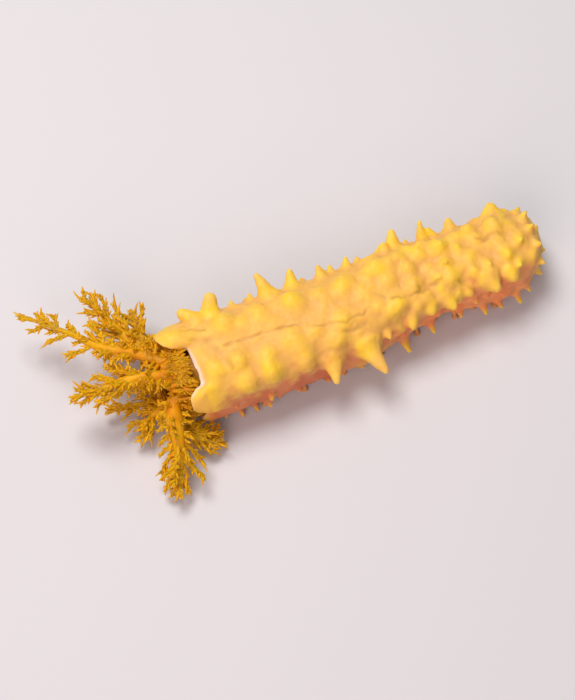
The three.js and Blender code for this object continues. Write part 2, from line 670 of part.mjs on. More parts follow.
// First the long arms, by turns to the two sides of the stem, then the short branches.
function growBranches(plant) {
  const { tentacle } = plant;
  const random = seededRandom(tentacle.seed);
  const { arms, branches, reach, opening, lean } = tentacle;
  growRow(plant, random, 'arm', { ...arm, count: arms, reach, opening, lean });
  growRow(plant, random, 'branch', { ...branch, count: branches, reach: branch.reach * reach, lean: 0 });
}

function growRow(plant, random, kind, form) {
  const { tentacle, lengths, curve } = plant;
  for (let index = 0; index < form.count; index += 1) {
    const along = (index + 0.5) / form.count;
    const share = THREE.MathUtils.lerp(tentacle.bare, form.last, along);
    const length = lengths.find((candidate) => share > candidate.from && share < candidate.to);
    const turn = radians(index * 180 + around(random, 0, form.fan));
    const leaning = 1 + form.lean * (index % 2 === 0 ? 1 : -1);
    const fullness = Math.sin(Math.PI * (0.35 + 0.53 * along));
    const size = form.reach * leaning * around(random, 1, 0.15) * fullness;
    const opening = form.opening * around(random, 1, 0.15);
    if (length) {
      const root = curve.getPointAt(share);
      const tangent = curve.getTangentAt(share);
      const thick = THREE.MathUtils.clamp(
        branchRadius.share * stemRadius(tentacle, share), branchRadius.least, branchRadius.most);
      const radii = taper(thick, branchRadius.tip, form.steps + 1);
      const kin = `stem/${kind}${index}`;
      const points = findShoot(root, tangent, turn, opening, size, form.bend, radii, length.name, kin);
      if (points) {
        const seed = tentacle.seed * 100 + plant.limbs.length;
        length.pieces.push(limb(points, radii, 4, true));
        place(points, radii, length.name, kin);
        plant.limbs.push({ points, length, kin, seed });
      }
    }
  }
}

function growTwigs(bearer) {
  const random = seededRandom(bearer.seed);
  const curve = new THREE.CatmullRomCurve3(bearer.points);
  const count = Math.round(twig.perLength * curve.getLength());
  for (let index = 0; index < count; index += 1) {
    const share = THREE.MathUtils.lerp(0.42, 0.92, (index + 0.5) / count);
    const turn = radians(180 * index + around(random, 30, 40));
    const size = twig.length * around(random, 0.95, 0.25);
    const radii = [twig.radius, 0];
    const kin = `${bearer.kin}/${index}`;
    const points = findShoot(curve.getPointAt(share), curve.getTangentAt(share), turn,
      twig.opening, size, 0.4, radii, bearer.length.name, kin);
    if (points) {
      bearer.length.pieces.push(limb(points, radii, 4, true));
      place(points, radii, bearer.length.name, kin);
    }
  }
}

function tentacleGroup(plant) {
  const group = new THREE.Group();
  for (const length of plant.lengths) {
    group.add(meshOf(length.name, join(length.pieces), tentacleMaterial, length.points[0]));
  }
  return group;
}

// The whole animal

const papillae = papillaPlaces();
const valves = valvePlaces();
papillae.forEach(([root, direction, length, radius]) => {
  place([root, root.clone().addScaledVector(direction, length)], [radius, radius], 'trunk', 'papilla');
});
valves.forEach(([root, tip, width]) => place([root, tip], [width, width], 'trunk', 'valve'));

const plants = tentacles.map(plantTentacle);
plants.forEach(growBranches);
plants.forEach((plant) => plant.limbs.forEach(growTwigs));

const seaCucumber = new THREE.Group();
seaCucumber.add(...trunkMeshes(papillae, valves));
seaCucumber.add(collarMesh(), mouthMesh());
plants.forEach((plant) => seaCucumber.add(tentacleGroup(plant)));

export default seaCucumber;
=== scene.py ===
# The looks of a yellow sea cucumber lying on its sole: one soft skin over the body, the collar and
# the roots of the tentacles, and ten plumes of branched tentacles with fine fingers.
# Sizes are in millimetres until a mesh is finished, then in metres.

import math

import bpy
import numpy as np
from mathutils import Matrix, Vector, noise


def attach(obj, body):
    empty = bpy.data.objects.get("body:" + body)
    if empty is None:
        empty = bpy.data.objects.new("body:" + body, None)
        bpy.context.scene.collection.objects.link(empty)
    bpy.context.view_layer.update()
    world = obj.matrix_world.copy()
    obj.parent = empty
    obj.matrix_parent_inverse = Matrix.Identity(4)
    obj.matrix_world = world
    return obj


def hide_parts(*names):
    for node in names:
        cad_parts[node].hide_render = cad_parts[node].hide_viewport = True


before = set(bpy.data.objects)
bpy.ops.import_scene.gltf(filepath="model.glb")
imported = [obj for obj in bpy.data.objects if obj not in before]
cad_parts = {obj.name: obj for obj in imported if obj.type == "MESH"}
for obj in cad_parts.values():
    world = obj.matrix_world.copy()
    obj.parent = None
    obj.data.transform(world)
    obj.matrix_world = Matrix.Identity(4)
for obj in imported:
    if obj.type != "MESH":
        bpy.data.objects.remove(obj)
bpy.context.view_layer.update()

# Some of Blender's noise starts from the clock, so a fixed number makes every run the same
noise.seed_set(1795624009)

MM = 0.001
TAU = 2 * math.pi


# Sizes

GAP = 0.3
SOLE_LIFT = 0.55                 # the belly's height over the floor
FLOOR_CLEARANCE = 0.35           # the lowest that a tentacle hangs

# The body wall: place along X, half width, half height, and its axis across Y and over the floor
WALL = np.array([
    [-19.9, 4.5, 3.6, 0.3, 4.45],
    [-18.6, 5.0, 3.9, 0.3, 4.45],
    [-14.0, 5.1, 3.95, 0.25, 4.5],
    [-8.0, 4.95, 3.95, 0.2, 4.5],
    [-3.0, 4.75, 3.85, 0.4, 4.4],
    [2.0, 4.35, 3.75, 0.8, 4.3],
    [7.0, 3.85, 3.6, 1.2, 4.15],
    [12.0, 4.05, 3.5, 1.05, 4.05],
    [15.5, 4.2, 3.4, 1.15, 3.95],
    [17.2, 3.7, 3.2, 1.25, 4.0],
    [18.6, 2.95, 2.75, 1.45, 4.15],
    [19.4, 2.15, 2.1, 1.6, 4.2],
])
FRONT_X, TAIL_X = WALL[0, 0], WALL[-1, 0]
BACK_SQUARENESS, SOLE_SQUARENESS = 2.5, 3.4
CREASE = np.array([
    [-17.5, 94], [-11.7, 93], [-7.4, 93], [-5.0, 114], [-1.9, 118], [0.5, 113], [3.0, 119],
    [5.2, 125], [7.5, 117], [10.0, 105], [14.5, 99],
])
CREASE_DEPTH, CREASE_WIDTH = 0.25, 8

# Swellings of the back: place along X, degrees round the wall (90 is straight up), height, radius
MOUNDS = [
    [-19.0, 56, 0.45, 1.3], [-15.2, 58, 0.6, 1.5], [-11.7, 56, 0.5, 1.3], [-8.2, 60, 0.55, 1.4],
    [-4.6, 66, 0.45, 1.1], [-1.9, 58, 0.5, 1.2], [1.4, 60, 0.5, 1.2], [3.6, 60, 0.55, 1.2],
    [6.2, 60, 0.5, 1.1], [8.7, 62, 0.45, 1.1], [11.6, 57, 0.5, 1.1], [15.3, 62, 0.5, 1.1],
    [-18.0, 121, 0.5, 1.4], [-15.2, 115, 0.45, 1.2], [-12.7, 134, 0.6, 1.3], [-8.7, 133, 0.6, 1.3],
    [-4.9, 135, 0.55, 1.2], [-2.6, 150, 0.5, 1.2], [1.7, 128, 0.5, 1.2], [4.4, 129, 0.5, 1.1],
    [8.3, 117, 0.45, 1.1], [11.2, 115, 0.45, 1.1], [15.2, 113, 0.45, 1.0], [-2.6, 195, 0.6, 2.3],
    [5.5, 153, 0.3, 1.1], [8.6, 152, 0.4, 1.2], [11.9, 144, 0.4, 1.2], [14.6, 146, 0.35, 1.1],
    [8.4, 180, -0.4, 1.7], [11.9, 172, -0.55, 1.9], [14.9, 172, -0.45, 1.7],
    [13.3, 33, -0.5, 1.2], [8.2, 196, -0.45, 1.7],
]

# Papillae that show: place along X, degrees, length, base radius, tip radius, lean towards +X,
# and the direction in which the tip points, in degrees
SHOWN_PAPILLAE = [
    [-18.1, 33, 2.1, 1.0, 0.45, -1.8, 32], [-16.1, 31, 2.4, 0.95, 0.58, 0.8, 34],
    [-13.7, 28, 0.9, 0.4, 0.15, 0.1, 28], [-11.65, 28, 0.9, 0.42, 0.15, 0.1, 28],
    [-9.8, 31, 2.9, 0.98, 0.2, -0.6, 34], [-7.0, 30, 2.1, 0.82, 0.22, 0.3, 32],
    [-3.8, 30, 1.4, 0.6, 0.18, 0.1, 30], [-2.6, 27, 1.0, 0.45, 0.15, 0.1, 26],
    [-0.9, 30, 1.3, 0.55, 0.18, 0.4, 30], [0.45, 27, 0.8, 0.42, 0.15, 0.1, 26],
    [3.3, 36, 1.4, 0.95, 0.3, 0.4, 36], [4.6, 30, 2.45, 0.95, 0.32, 0.4, 32],
    [6.0, 27, 1.0, 0.45, 0.15, 0.2, 28], [7.8, 33, 2.5, 0.64, 0.2, 0.3, 40],
    [9.1, 33, 1.5, 0.48, 0.18, -0.5, 40], [11.0, 31, 1.6, 0.85, 0.2, 0.2, 34],
    [12.6, 28, 0.5, 0.45, 0.16, 0.2, 28], [14.2, 30, 0.6, 0.5, 0.16, 0.2, 30],
    [15.8, 32, 1.5, 1.1, 0.34, 0.3, 34], [17.2, 30, 0.7, 0.6, 0.16, 0.2, 32],
    [18.3, 32, 0.5, 0.5, 0.16, 0.5, 30],
    [-15.3, 146, 0.8, 0.95, 0.5, -0.3, 160], [-12.6, 146, 0.7, 0.9, 0.45, -0.2, 155],
    [-8.9, 150, 0.6, 0.8, 0.35, 0.0, 160], [-6.1, 163, 2.6, 1.05, 0.14, -0.5, 186],
    [-2.0, 164, 3.5, 1.25, 0.16, 1.0, 190], [0.4, 158, 1.0, 0.5, 0.16, 0.1, 170],
    [3.3, 156, 1.4, 0.8, 0.16, -0.2, 184], [5.6, 152, 1.0, 0.85, 0.16, 0.0, 172],
    [7.7, 151, 1.6, 0.95, 0.16, 0.5, 182], [10.1, 149, 0.9, 0.8, 0.16, 0.0, 172],
    [12.6, 143, 1.6, 1.05, 0.16, 0.6, 178], [15.0, 145, 1.0, 0.85, 0.16, 0.2, 172],
    [2.5, 208, 1.9, 0.55, 0.26, 0.2, 196], [5.8, 208, 1.6, 0.5, 0.2, 0.1, 192],
    [9.3, 210, 1.1, 0.42, 0.15, 0.0, 194], [11.9, 208, 1.4, 0.45, 0.15, 0.0, 194],
    [13.6, 206, 1.2, 0.42, 0.15, 0.1, 192], [15.7, 206, 1.4, 0.45, 0.15, 0.1, 192],
    [17.0, 204, 1.1, 0.4, 0.15, 0.2, 190], [-16.3, 222, 1.6, 0.42, 0.2, 0.2, 200],
    [-14.7, 222, 1.6, 0.42, 0.2, 0.2, 200],
]

# Rows of further papillae: degrees, first and last place along X, spacing, length, base radius
PAPILLA_ROWS = [
    [62, -15.9, -2.0, 2.7, 0.4, 0.75],
    [63, 0.5, 17.2, 2.1, 0.55, 0.78],
    [121, -15.2, -2.0, 2.8, 0.4, 0.75],
    [120, 0.1, 17.0, 2.15, 0.5, 0.78],
    [8, -15.5, 16.0, 4.4, 0.8, 0.42],
    [178, -16.5, 15.0, 4.7, 0.8, 0.42],
    [-29, -17.5, 17.0, 1.95, 1.5, 0.52],
    [217, -17.3, 0.5, 2.05, 0.9, 0.45],
]
PAPILLA_SPREAD = 7
ANAL_RINGS = [[5, 0.78, 0.7], [9, 1.0, 1.0]]     # count, share of the wall's radius, share of the length
ANAL_LENGTH, ANAL_RADIUS = 1.0, 0.45

# Lobes of the front rim: degrees, reach, half width, splay
ORAL_LOBES = [[41, 3.4, 1.75, 0.6], [151, 2.2, 1.15, 0.7], [-26, 1.7, 1.15, 0.3],
              [206, 1.3, 1.0, 0.3], [270, 1.2, 1.0, 0.0]]

FOOT_ROWS = [-3.25, 0.0, 3.25]
FEET_EACH_WAY, FOOT_SPACING, FOOT_ZIGZAG, FOOT_SPLAY = 7, 2.25, 0.3, 0.5
FOOT_COLUMN, FOOT_DISC, FOOT_DISC_HEIGHT = 0.27, 0.45, 0.2

COLLAR_FRONT, COLLAR_NECK, COLLAR_RIM, COLLAR_HEIGHT = -21.4, 2.7, 3.35, 4.55
MOUTH_RADIUS, MOUTH_DOME = 1.62, 0.55

# Tentacles: place on the ring in degrees, seed, cuts, root, swell and tip radius, bare share, the
# number of long arms and of short branches, the arms' reach and opening, and the path of the stem
RING_RADIUS = 2.65
ROOT_X = COLLAR_FRONT - GAP
STRAIGHT_ROOT, STEM_STEP, CUT_MARGIN = 0.5, 1.5, 0.17
TENTACLES = [
    dict(ring=345, seed=11, cuts=[0.26], radii=(0.64, 0.62, 0.24), bare=0.16, arms=8, branches=8,
         reach=3.6, opening=50, lean=0, path=[(-23.2, 0.0, 7.2), (-24.9, 0.5, 7.3), (-26.8, 0.9, 7.3),
               (-28.9, 1.0, 7.0), (-30.8, 1.2, 6.6), (-32.4, 1.6, 6.2)]),
    dict(ring=25, seed=23, cuts=[0.27, 0.58], radii=(0.64, 0.58, 0.2), bare=0.2, arms=8, branches=8,
         reach=3.6, opening=66, lean=0, path=[(-23.1, 1.9, 7.0), (-24.7, 3.2, 7.2), (-26.7, 4.3, 7.4),
               (-28.4, 5.7, 7.2), (-29.9, 7.6, 6.8), (-31.3, 9.1, 6.4), (-32.9, 10.8, 6.0),
               (-34.7, 12.6, 5.6)]),
    dict(ring=63, seed=37, cuts=[0.27], radii=(0.64, 0.66, 0.24), bare=0.16, arms=9, branches=8,
         reach=3.8, opening=46, lean=0.1, path=[(-23.2, 3.2, 5.5), (-24.3, 4.6, 5.6), (-25.2, 6.2, 5.8),
               (-26.0, 8.0, 6.0), (-26.9, 10.0, 6.1), (-27.8, 11.9, 6.0)]),
    dict(ring=101, seed=41, cuts=[0.38], radii=(0.64, 0.6, 0.24), bare=0.25, arms=6, branches=5,
         reach=3.2, opening=46, lean=0.1, path=[(-23.1, 3.6, 3.8), (-23.3, 5.4, 3.7), (-23.4, 7.2, 3.9),
               (-23.6, 9.2, 4.2)]),
    dict(ring=139, seed=53, cuts=[0.4], radii=(0.64, 0.56, 0.24), bare=0.3, arms=4, branches=4,
         reach=2.4, opening=50, lean=0, path=[(-23.2, 2.9, 2.0), (-23.3, 4.7, 1.6), (-23.3, 6.5, 1.5),
               (-23.6, 8.2, 1.6)]),
    dict(ring=168, seed=67, cuts=[], radii=(0.4, 0.4, 0.22), bare=0.25, arms=3, branches=3,
         reach=1.9, opening=50, lean=0, path=[(-24.3, 1.0, 1.6), (-25.7, 2.9, 1.6), (-26.8, 4.2, 1.8),
               (-28.0, 5.4, 1.9)]),
    dict(ring=194, seed=71, cuts=[], radii=(0.4, 0.4, 0.22), bare=0.25, arms=3, branches=3,
         reach=1.9, opening=50, lean=0, path=[(-24.4, -0.4, 1.5), (-26.4, 0.2, 1.5), (-28.1, 0.4, 1.6),
               (-29.6, 0.3, 1.7)]),
    dict(ring=224, seed=83, cuts=[0.3], radii=(0.64, 0.6, 0.24), bare=0.18, arms=6, branches=6,
         reach=3.0, opening=50, lean=0, path=[(-23.4, -1.7, 3.0), (-24.9, -1.9, 2.9), (-26.1, -2.6, 2.3),
               (-27.0, -3.5, 1.6)]),
    dict(ring=264, seed=97, cuts=[0.36], radii=(0.64, 0.58, 0.24), bare=0.2, arms=6, branches=5,
         reach=3.1, opening=52, lean=0, path=[(-23.2, -3.3, 4.1), (-22.9, -4.9, 3.3), (-21.8, -5.9, 2.4),
               (-20.5, -6.6, 1.8), (-19.3, -6.8, 1.6)]),
    dict(ring=305, seed=109, cuts=[0.3], radii=(0.64, 0.95, 0.24), bare=0.16, arms=8, branches=8,
         reach=4.4, opening=50, lean=-0.1, path=[(-23.2, -3.0, 6.1), (-23.6, -4.7, 5.6),
               (-23.9, -6.3, 4.7), (-24.3, -7.9, 3.6), (-25.0, -9.5, 2.6), (-25.8, -10.7, 1.8)]),
]
ARM_FAN, ARM_STEPS, ARM_BEND, ARM_LAST = 20, 3, 0.45, 0.86
BRANCH_OPENING, BRANCH_FAN, BRANCH_STEPS, BRANCH_BEND, BRANCH_LAST = 55, 60, 2, 0.5, 0.97
BRANCH_REACH = 0.55
BRANCH_SHARE, BRANCH_MOST, BRANCH_LEAST, BRANCH_TIP = 0.6, 0.38, 0.27, 0.15
TWIG_PER_LENGTH, TWIG_LENGTH, TWIG_RADIUS, TWIG_OPENING, TWIG_BEND = 0.8, 1.2, 0.3, 48, 0.4

# Levels of the limbs: from TWIG on they carry no twigs. The three with a half or more are the scene's own.
BRANCH, SHOOT, TUFT, TWIG, FINE_TWIG = 1, 1.5, 1.7, 2, 2.5


# Chance that repeats the same on every run

def seeded(seed):
    state = seed

    def draw():
        nonlocal state
        state = (state * 1664525 + 1013904223) & 0xFFFFFFFF
        return state / 4294967296
    return draw


def around(draw, middle, spread):
    return middle + spread * (2 * draw() - 1)


def unit(v):
    return v / np.linalg.norm(v)


def mix(a, b, share):
    return a + (b - a) * share


def step(low, high, value):
    share = np.clip((value - low) / (high - low), 0, 1)
    return share * share * (3 - 2 * share)


# The body wall

def reading(table, x, column):
    """Smooth reading of one column of a table whose first column is the place along X."""
    places, values = table[:, 0], table[:, column]
    last = len(places) - 1
    x = np.asarray(x, float)
    index = np.clip(np.searchsorted(places, x, side="left"), 1, last)
    before, after = np.maximum(np.arange(last + 1) - 1, 0), np.minimum(np.arange(last + 1) + 1, last)
    slopes = (values[after] - values[before]) / (places[after] - places[before])
    span = places[index] - places[index - 1]
    u = np.clip((x - places[index - 1]) / span, 0, 1)
    return (values[index - 1] * (2 * u**3 - 3 * u**2 + 1) + slopes[index - 1] * span * (u**3 - 2 * u**2 + u)
            + values[index] * (3 * u**2 - 2 * u**3) + slopes[index] * span * (u**3 - u**2))


def wall_axis(x):
    return np.stack([np.asarray(x, float), reading(WALL, x, 3), reading(WALL, x, 4)], axis=-1)


def plain_radius(x, angle):
    half_width, half_height = reading(WALL, x, 1), reading(WALL, x, 2)
    across, upward = np.cos(angle), np.sin(angle)
    power = np.where(upward < 0, SOLE_SQUARENESS, BACK_SQUARENESS)
    return (np.abs(across / half_width) ** power + np.abs(upward / half_height) ** power) ** (-1 / power)


def wall_radius(x, angle, creased=True):
    plain = plain_radius(x, angle)
    swelling = 0
    for mound_x, mound_angle, height, radius in MOUNDS:
        distance = np.hypot(x - mound_x, plain * np.abs(angle - math.radians(mound_angle))) / radius
        swelling = swelling + height * np.exp(-1.4 * distance**2)
    if not creased:
        return plain + swelling
    from_crease = (angle - np.radians(reading(CREASE, x, 1))) / math.radians(CREASE_WIDTH)
    return plain + swelling - CREASE_DEPTH * np.exp(-(from_crease**2))


def wall_point(x, angle, share=1):
    radius = wall_radius(x, angle) * share
    return wall_axis(x) + np.stack([0 * radius, radius * np.cos(angle), radius * np.sin(angle)], axis=-1)


def outward(angle, lean):
    return unit(np.array([lean, math.cos(angle), math.sin(angle)]))


def papilla_places():
    """Every papilla as root, direction, length, base radius and tip radius, as the solids have them."""
    places = []
    for x, angle, length, radius, tip, lean, pointing in SHOWN_PAPILLAE:
        places.append((wall_point(x, math.radians(angle)), outward(math.radians(pointing), lean / length),
                       length, radius, tip))
    draw = seeded(5)
    for row_angle, first, last, spacing, length, radius in PAPILLA_ROWS:
        x = first
        while x < last:
            angle = math.radians(around(draw, row_angle, PAPILLA_SPREAD))
            root = wall_point(around(draw, x, 0.35 * spacing), angle)
            direction = outward(angle, around(draw, 0.1, 0.25))
            size = around(draw, 1, 0.3)
            if all(np.linalg.norm(other[0] - root) > 0.85 * other[3] + radius for other in places):
                places.append((root, direction, length * size, radius * size, 0.16))
            x += spacing
    for count, share, length in ANAL_RINGS:
        for index in range(count):
            angle = around(draw, TAU * (index + 0.5) / count - math.pi / 2, 0.15)
            x = TAIL_X if share < 1 else TAIL_X - 0.75
            places.append((wall_point(x, angle, share), outward(angle, 1.7 if share < 1 else 0.8),
                           ANAL_LENGTH * length, ANAL_RADIUS, 0.15))
    return places


def foot_places():
    middle_zigzag = wall_axis(0)[1]
    for row in FOOT_ROWS:
        for index in range(-FEET_EACH_WAY, FEET_EACH_WAY + 1):
            x = index * FOOT_SPACING
            zigzag = (middle_zigzag if row == 0 else FOOT_ZIGZAG) * (-1 if index % 2 == 0 else 1)
            narrowing = reading(WALL, x, 1) / reading(WALL, 0, 1)
            yield x, wall_axis(x)[1] + row * narrowing + zigzag, FOOT_SPLAY * np.sign(row)


# The plan of the tentacles, the same as in the solids

class Path:
    """A smooth path through points, read by its share of the length."""

    def __init__(self, points):
        self.points = [np.asarray(p, float) for p in points]
        self.table = self.at(np.linspace(0, 1, 201))
        self.lengths = np.concatenate([[0], np.cumsum(np.linalg.norm(np.diff(self.table, axis=0), axis=1))])
        self.length = self.lengths[-1]

    def at(self, t):
        points, last = self.points, len(self.points) - 1
        results = []
        for value in np.atleast_1d(t):
            place = last * value
            index = min(int(math.floor(place)), last - 1)
            u = place - index
            p1, p2 = points[index], points[index + 1]
            p0 = points[index - 1] if index > 0 else 2 * points[0] - points[1]
            p3 = points[index + 2] if index + 2 <= last else 2 * points[last] - points[last - 1]
            d0, d1, d2 = (np.dot(b - a, b - a) ** 0.25 for a, b in ((p0, p1), (p1, p2), (p2, p3)))
            t1 = ((p1 - p0) / d0 - (p2 - p0) / (d0 + d1) + (p2 - p1) / d1) * d1
            t2 = ((p2 - p1) / d1 - (p3 - p1) / (d1 + d2) + (p3 - p2) / d2) * d1
            results.append(p1 + t1 * u + (3 * p2 - 3 * p1 - 2 * t1 - t2) * u**2
                           + (2 * p1 - 2 * p2 + t1 + t2) * u**3)
        return np.array(results)

    def share_to_t(self, share):
        return np.interp(np.asarray(share) * self.length, self.lengths, np.linspace(0, 1, 201))

    def point(self, share):
        return self.at(self.share_to_t(share))[0]

    def tangent(self, share):
        t = float(self.share_to_t(share))
        ends = self.at([max(t - 0.0001, 0), min(t + 0.0001, 1)])
        return unit(ends[1] - ends[0])

    def even(self, count, first=0.0, last=1.0):
        shares = np.linspace(first, last, count)
        return shares, self.at(self.share_to_t(shares))


class Space:
    """What is already placed, so that a new shoot can keep clear of it."""

    def __init__(self):
        self.segments, self.owners, self.kin = [], [], []

    def place(self, points, radii, owner, kin):
        for a, b, ra, rb in zip(points, points[1:], radii, radii[1:]):
            self.segments.append(np.concatenate([a, b, [max(ra, rb)]]))
            self.owners.append(owner)
            self.kin.append(kin)

    def view(self, owner, kin):
        """The placed segments, which of them have this owner, and which are no kin."""
        same = np.array([other == owner for other in self.owners])
        related = np.array([kin.startswith(placed) for placed in self.kin])
        return np.array(self.segments), same, ~(same & related)


def segment_distances(a, b, others):
    c, d = others[:, 0:3], others[:, 3:6]
    u, v, w = b - a, d - c, a - c
    uu, uv, vv, uw, vw = u @ u, v @ u, (v * v).sum(1), w @ u, (w * v).sum(1)
    spread = uu * vv - uv * uv
    s = np.where(spread > 1e-9, np.clip((uv * vw - vv * uw) / np.maximum(spread, 1e-9), 0, 1), 0)
    t = np.where(vv > 1e-9, np.clip((uv * s + vw) / np.maximum(vv, 1e-9), 0, 1), 0)
    s = np.clip((uv * t - uw) / uu, 0, 1) if uu > 1e-9 else 0 * t
    return np.linalg.norm(a + s[:, None] * u - (c + t[:, None] * v), axis=1)


def clear_of_body(points, radii):
    points, radii = np.asarray(points), np.asarray(radii)
    if (points[:, 2] < radii + FLOOR_CLEARANCE).any():
        return False
    from_axis = np.hypot(points[:, 1], points[:, 2] - COLLAR_HEIGHT)
    if ((points[:, 0] > ROOT_X - radii) & (from_axis < COLLAR_RIM + radii + GAP)).any():
        return False
    near = points[:, 0] > FRONT_X - radii - GAP
    if near.any():
        off = points[near] - wall_axis(points[near, 0])
        reach = wall_radius(points[near, 0], np.arctan2(off[:, 2], off[:, 1])) + radii[near] + GAP
        return not (np.hypot(off[:, 1], off[:, 2]) < reach).any()
    return True


def is_free(points, radii, sight):
    if not clear_of_body(points, radii):
        return False
    segments, same, strange = sight
    for index in range(len(points) - 1):
        radius = max(radii[index], radii[index + 1])
        counted = strange & ~same if index == 0 else strange
        clearance = radius + segments[:, 6] + np.where(same, 0.03, 1.1 * GAP)
        if (counted & (segment_distances(points[index], points[index + 1], segments) < clearance)).any():
            return False
    return True


def sideways(tangent, turn):
    level = np.cross(tangent, [0, 0, 1.0])
    if np.linalg.norm(level) < 0.1:
        level = np.array([1.0, 0, 0])
    level = unit(level)
    return level * math.cos(turn) + unit(np.cross(level, tangent)) * math.sin(turn)


def shoot(root, tangent, turn, opening, length, bend, steps):
    side = sideways(tangent, turn)
    points = [np.array(root)]
    for index in range(1, steps + 1):
        opened = math.radians(opening) * (1 - bend * index / steps)
        points.append(points[-1] + (tangent * math.cos(opened) + side * math.sin(opened)) * length / steps)
    return points


def find_shoot(space, root, tangent, turn, opening, length, bend, radii, owner, kin):
    sight = space.view(owner, kin)
    for share in (1, 0.8, 0.62, 0.46):
        for nudge in (0, 18, -18, 36, -36, 60, -60, 95, -95, 135, -135):
            points = shoot(root, tangent, turn + math.radians(nudge), opening, length * share, bend,
                           len(radii) - 1)
            if is_free(points, radii, sight):
                return points
    return None


def over_collar(x, radius, ring):
    """A point beside the collar, at an angle round the ring on which the tentacles stand."""
    return np.array([x, radius * math.sin(ring), COLLAR_HEIGHT + radius * math.cos(ring)])


def stem_radius(tentacle, share):
    root, swell, tip = tentacle["radii"]
    full = 0.28
    if share < full:
        return mix(root, swell, share / full)
    return mix(swell, tip, ((share - full) / (1 - full)) ** 1.15)


def plan_stems(space):
    for number, tentacle in enumerate(TENTACLES):
        ring = math.radians(tentacle["ring"])
        root = over_collar(ROOT_X, RING_RADIUS, ring)
        path = tentacle["path"] = Path([root, root + [-STRAIGHT_ROOT, 0, 0], *tentacle["path"]])
        ends = [0, *tentacle["cuts"], 1]
        tentacle["owners"] = []
        tentacle["limbs"] = []
        for index in range(len(ends) - 1):
            first = ends[index] + (CUT_MARGIN / path.length if index else 0)
            last = ends[index + 1] - (CUT_MARGIN / path.length if index + 2 < len(ends) else 0)
            steps = max(2, round((last - first) * path.length / STEM_STEP))
            shares = list(np.linspace(first, last, steps + 1))
            if index == 0:
                shares.insert(1, STRAIGHT_ROOT / path.length)
            owner = (number, index)
            tentacle["owners"].append((first, last, owner))
            space.place([path.point(s) for s in shares], [stem_radius(tentacle, s) for s in shares],
                        owner, "stem")


def plan_branches(space, tentacle):
    """First the long arms, by turns to the two sides of the stem, then short branches between them."""
    draw = seeded(tentacle["seed"])
    path, limbs = tentacle["path"], tentacle["limbs"]
    forms = [
        ("arm", tentacle["arms"], tentacle["reach"], tentacle["lean"], tentacle["opening"], ARM_FAN,
         ARM_STEPS, ARM_BEND, ARM_LAST),
        ("branch", tentacle["branches"], tentacle["reach"] * BRANCH_REACH, 0, BRANCH_OPENING, BRANCH_FAN,
         BRANCH_STEPS, BRANCH_BEND, BRANCH_LAST),
    ]
    for form, count, reach, lean, wide, fan, steps, bend, last in forms:
        for index in range(count):
            along = (index + 0.5) / count
            share = mix(tentacle["bare"], last, along)
            owner = next((o for first, end, o in tentacle["owners"] if first < share < end), None)
            turn = math.radians(index * 180 + around(draw, 0, fan))
            leaning = 1 + lean * (1 if index % 2 == 0 else -1)
            size = reach * leaning * around(draw, 1, 0.15) * math.sin(math.pi * (0.35 + 0.53 * along))
            opening = wide * around(draw, 1, 0.15)
            if owner is None:
                continue
            thick = min(max(BRANCH_SHARE * stem_radius(tentacle, share), BRANCH_LEAST), BRANCH_MOST)
            radii = list(np.linspace(thick, BRANCH_TIP, steps + 1))
            kin = "stem/%s%d" % (form, index)
            points = find_shoot(space, path.point(share), path.tangent(share), turn, opening, size, bend,
                                radii, owner, kin)
            if points:
                space.place(points, radii, owner, kin)
                limbs.append(dict(points=points, share=share, owner=owner, kin=kin, level=BRANCH, turn=turn,
                                  seed=tentacle["seed"] * 100 + len(limbs)))


def plan_twigs(space, tentacle, branch):
    draw = seeded(branch["seed"])
    path = Path(branch["points"])
    count = int(TWIG_PER_LENGTH * path.length + 0.5)
    for index in range(count):
        share = mix(0.42, 0.92, (index + 0.5) / count)
        turn = math.radians(180 * index + around(draw, 30, 40))
        size = TWIG_LENGTH * around(draw, 0.95, 0.25)
        radii = [TWIG_RADIUS, 0]
        kin = "%s/%d" % (branch["kin"], index)
        points = find_shoot(space, path.point(share), path.tangent(share), turn, TWIG_OPENING, size,
                            TWIG_BEND, radii, branch["owner"], kin)
        if points:
            space.place(points, radii, branch["owner"], kin)
            tentacle["limbs"].append(dict(points=points, share=branch["share"], level=TWIG, turn=turn))


papillae = papilla_places()
space = Space()
for root, direction, length, radius, tip in papillae:
    space.place([root, root + direction * length], [radius, radius], "trunk", "papilla")
for degrees, reach, width, splay in ORAL_LOBES:
    angle = math.radians(degrees)
    root = wall_point(FRONT_X + 0.9, angle, 0.93)
    tip = root + [-reach, splay * math.cos(angle), splay * math.sin(angle)]
    space.place([root, tip], [width, width], "trunk", "valve")
plan_stems(space)
for tentacle in TENTACLES:
    plan_branches(space, tentacle)
for tentacle in TENTACLES:
    for branch in [limb for limb in tentacle["limbs"] if limb["level"] == BRANCH]:
        plan_twigs(space, tentacle, branch)


# Finer shoots than the solids have, between and on the planned ones. A pair is a middle and a spread.

GOLDEN_TURN = 137.5
HIGHEST_TWIG = 8.85
SHOOT_SIZE, SHOOT_OPENING, SHOOT_RADIUS = (0.46, 0.14), (54, 12), 0.15
ROOT_TUFTS, ROOT_SHARE = 6.5, 0.26          # to a millimetre of the root, the stem's share that it is
ROOT_TUFT_SIZE, ROOT_TUFT_OPENINGS = (1.9, 0.5), (104, 68)
COLLAR_TUFTS = 26                           # to a tentacle
COLLAR_TUFT_START, COLLAR_TUFT_END = (0.7, 0.6), (-20.55, 0.45)
COLLAR_TUFT_LOW, COLLAR_TUFT_HIGH = (3.0, 0.25), (3.8, 0.3)
FINE_TWIGS = 3.4                            # to a millimetre of a limb
FINE_TWIG_SIZE, FINE_TWIG_OPENING = (0.55, 0.16), (50, 10)

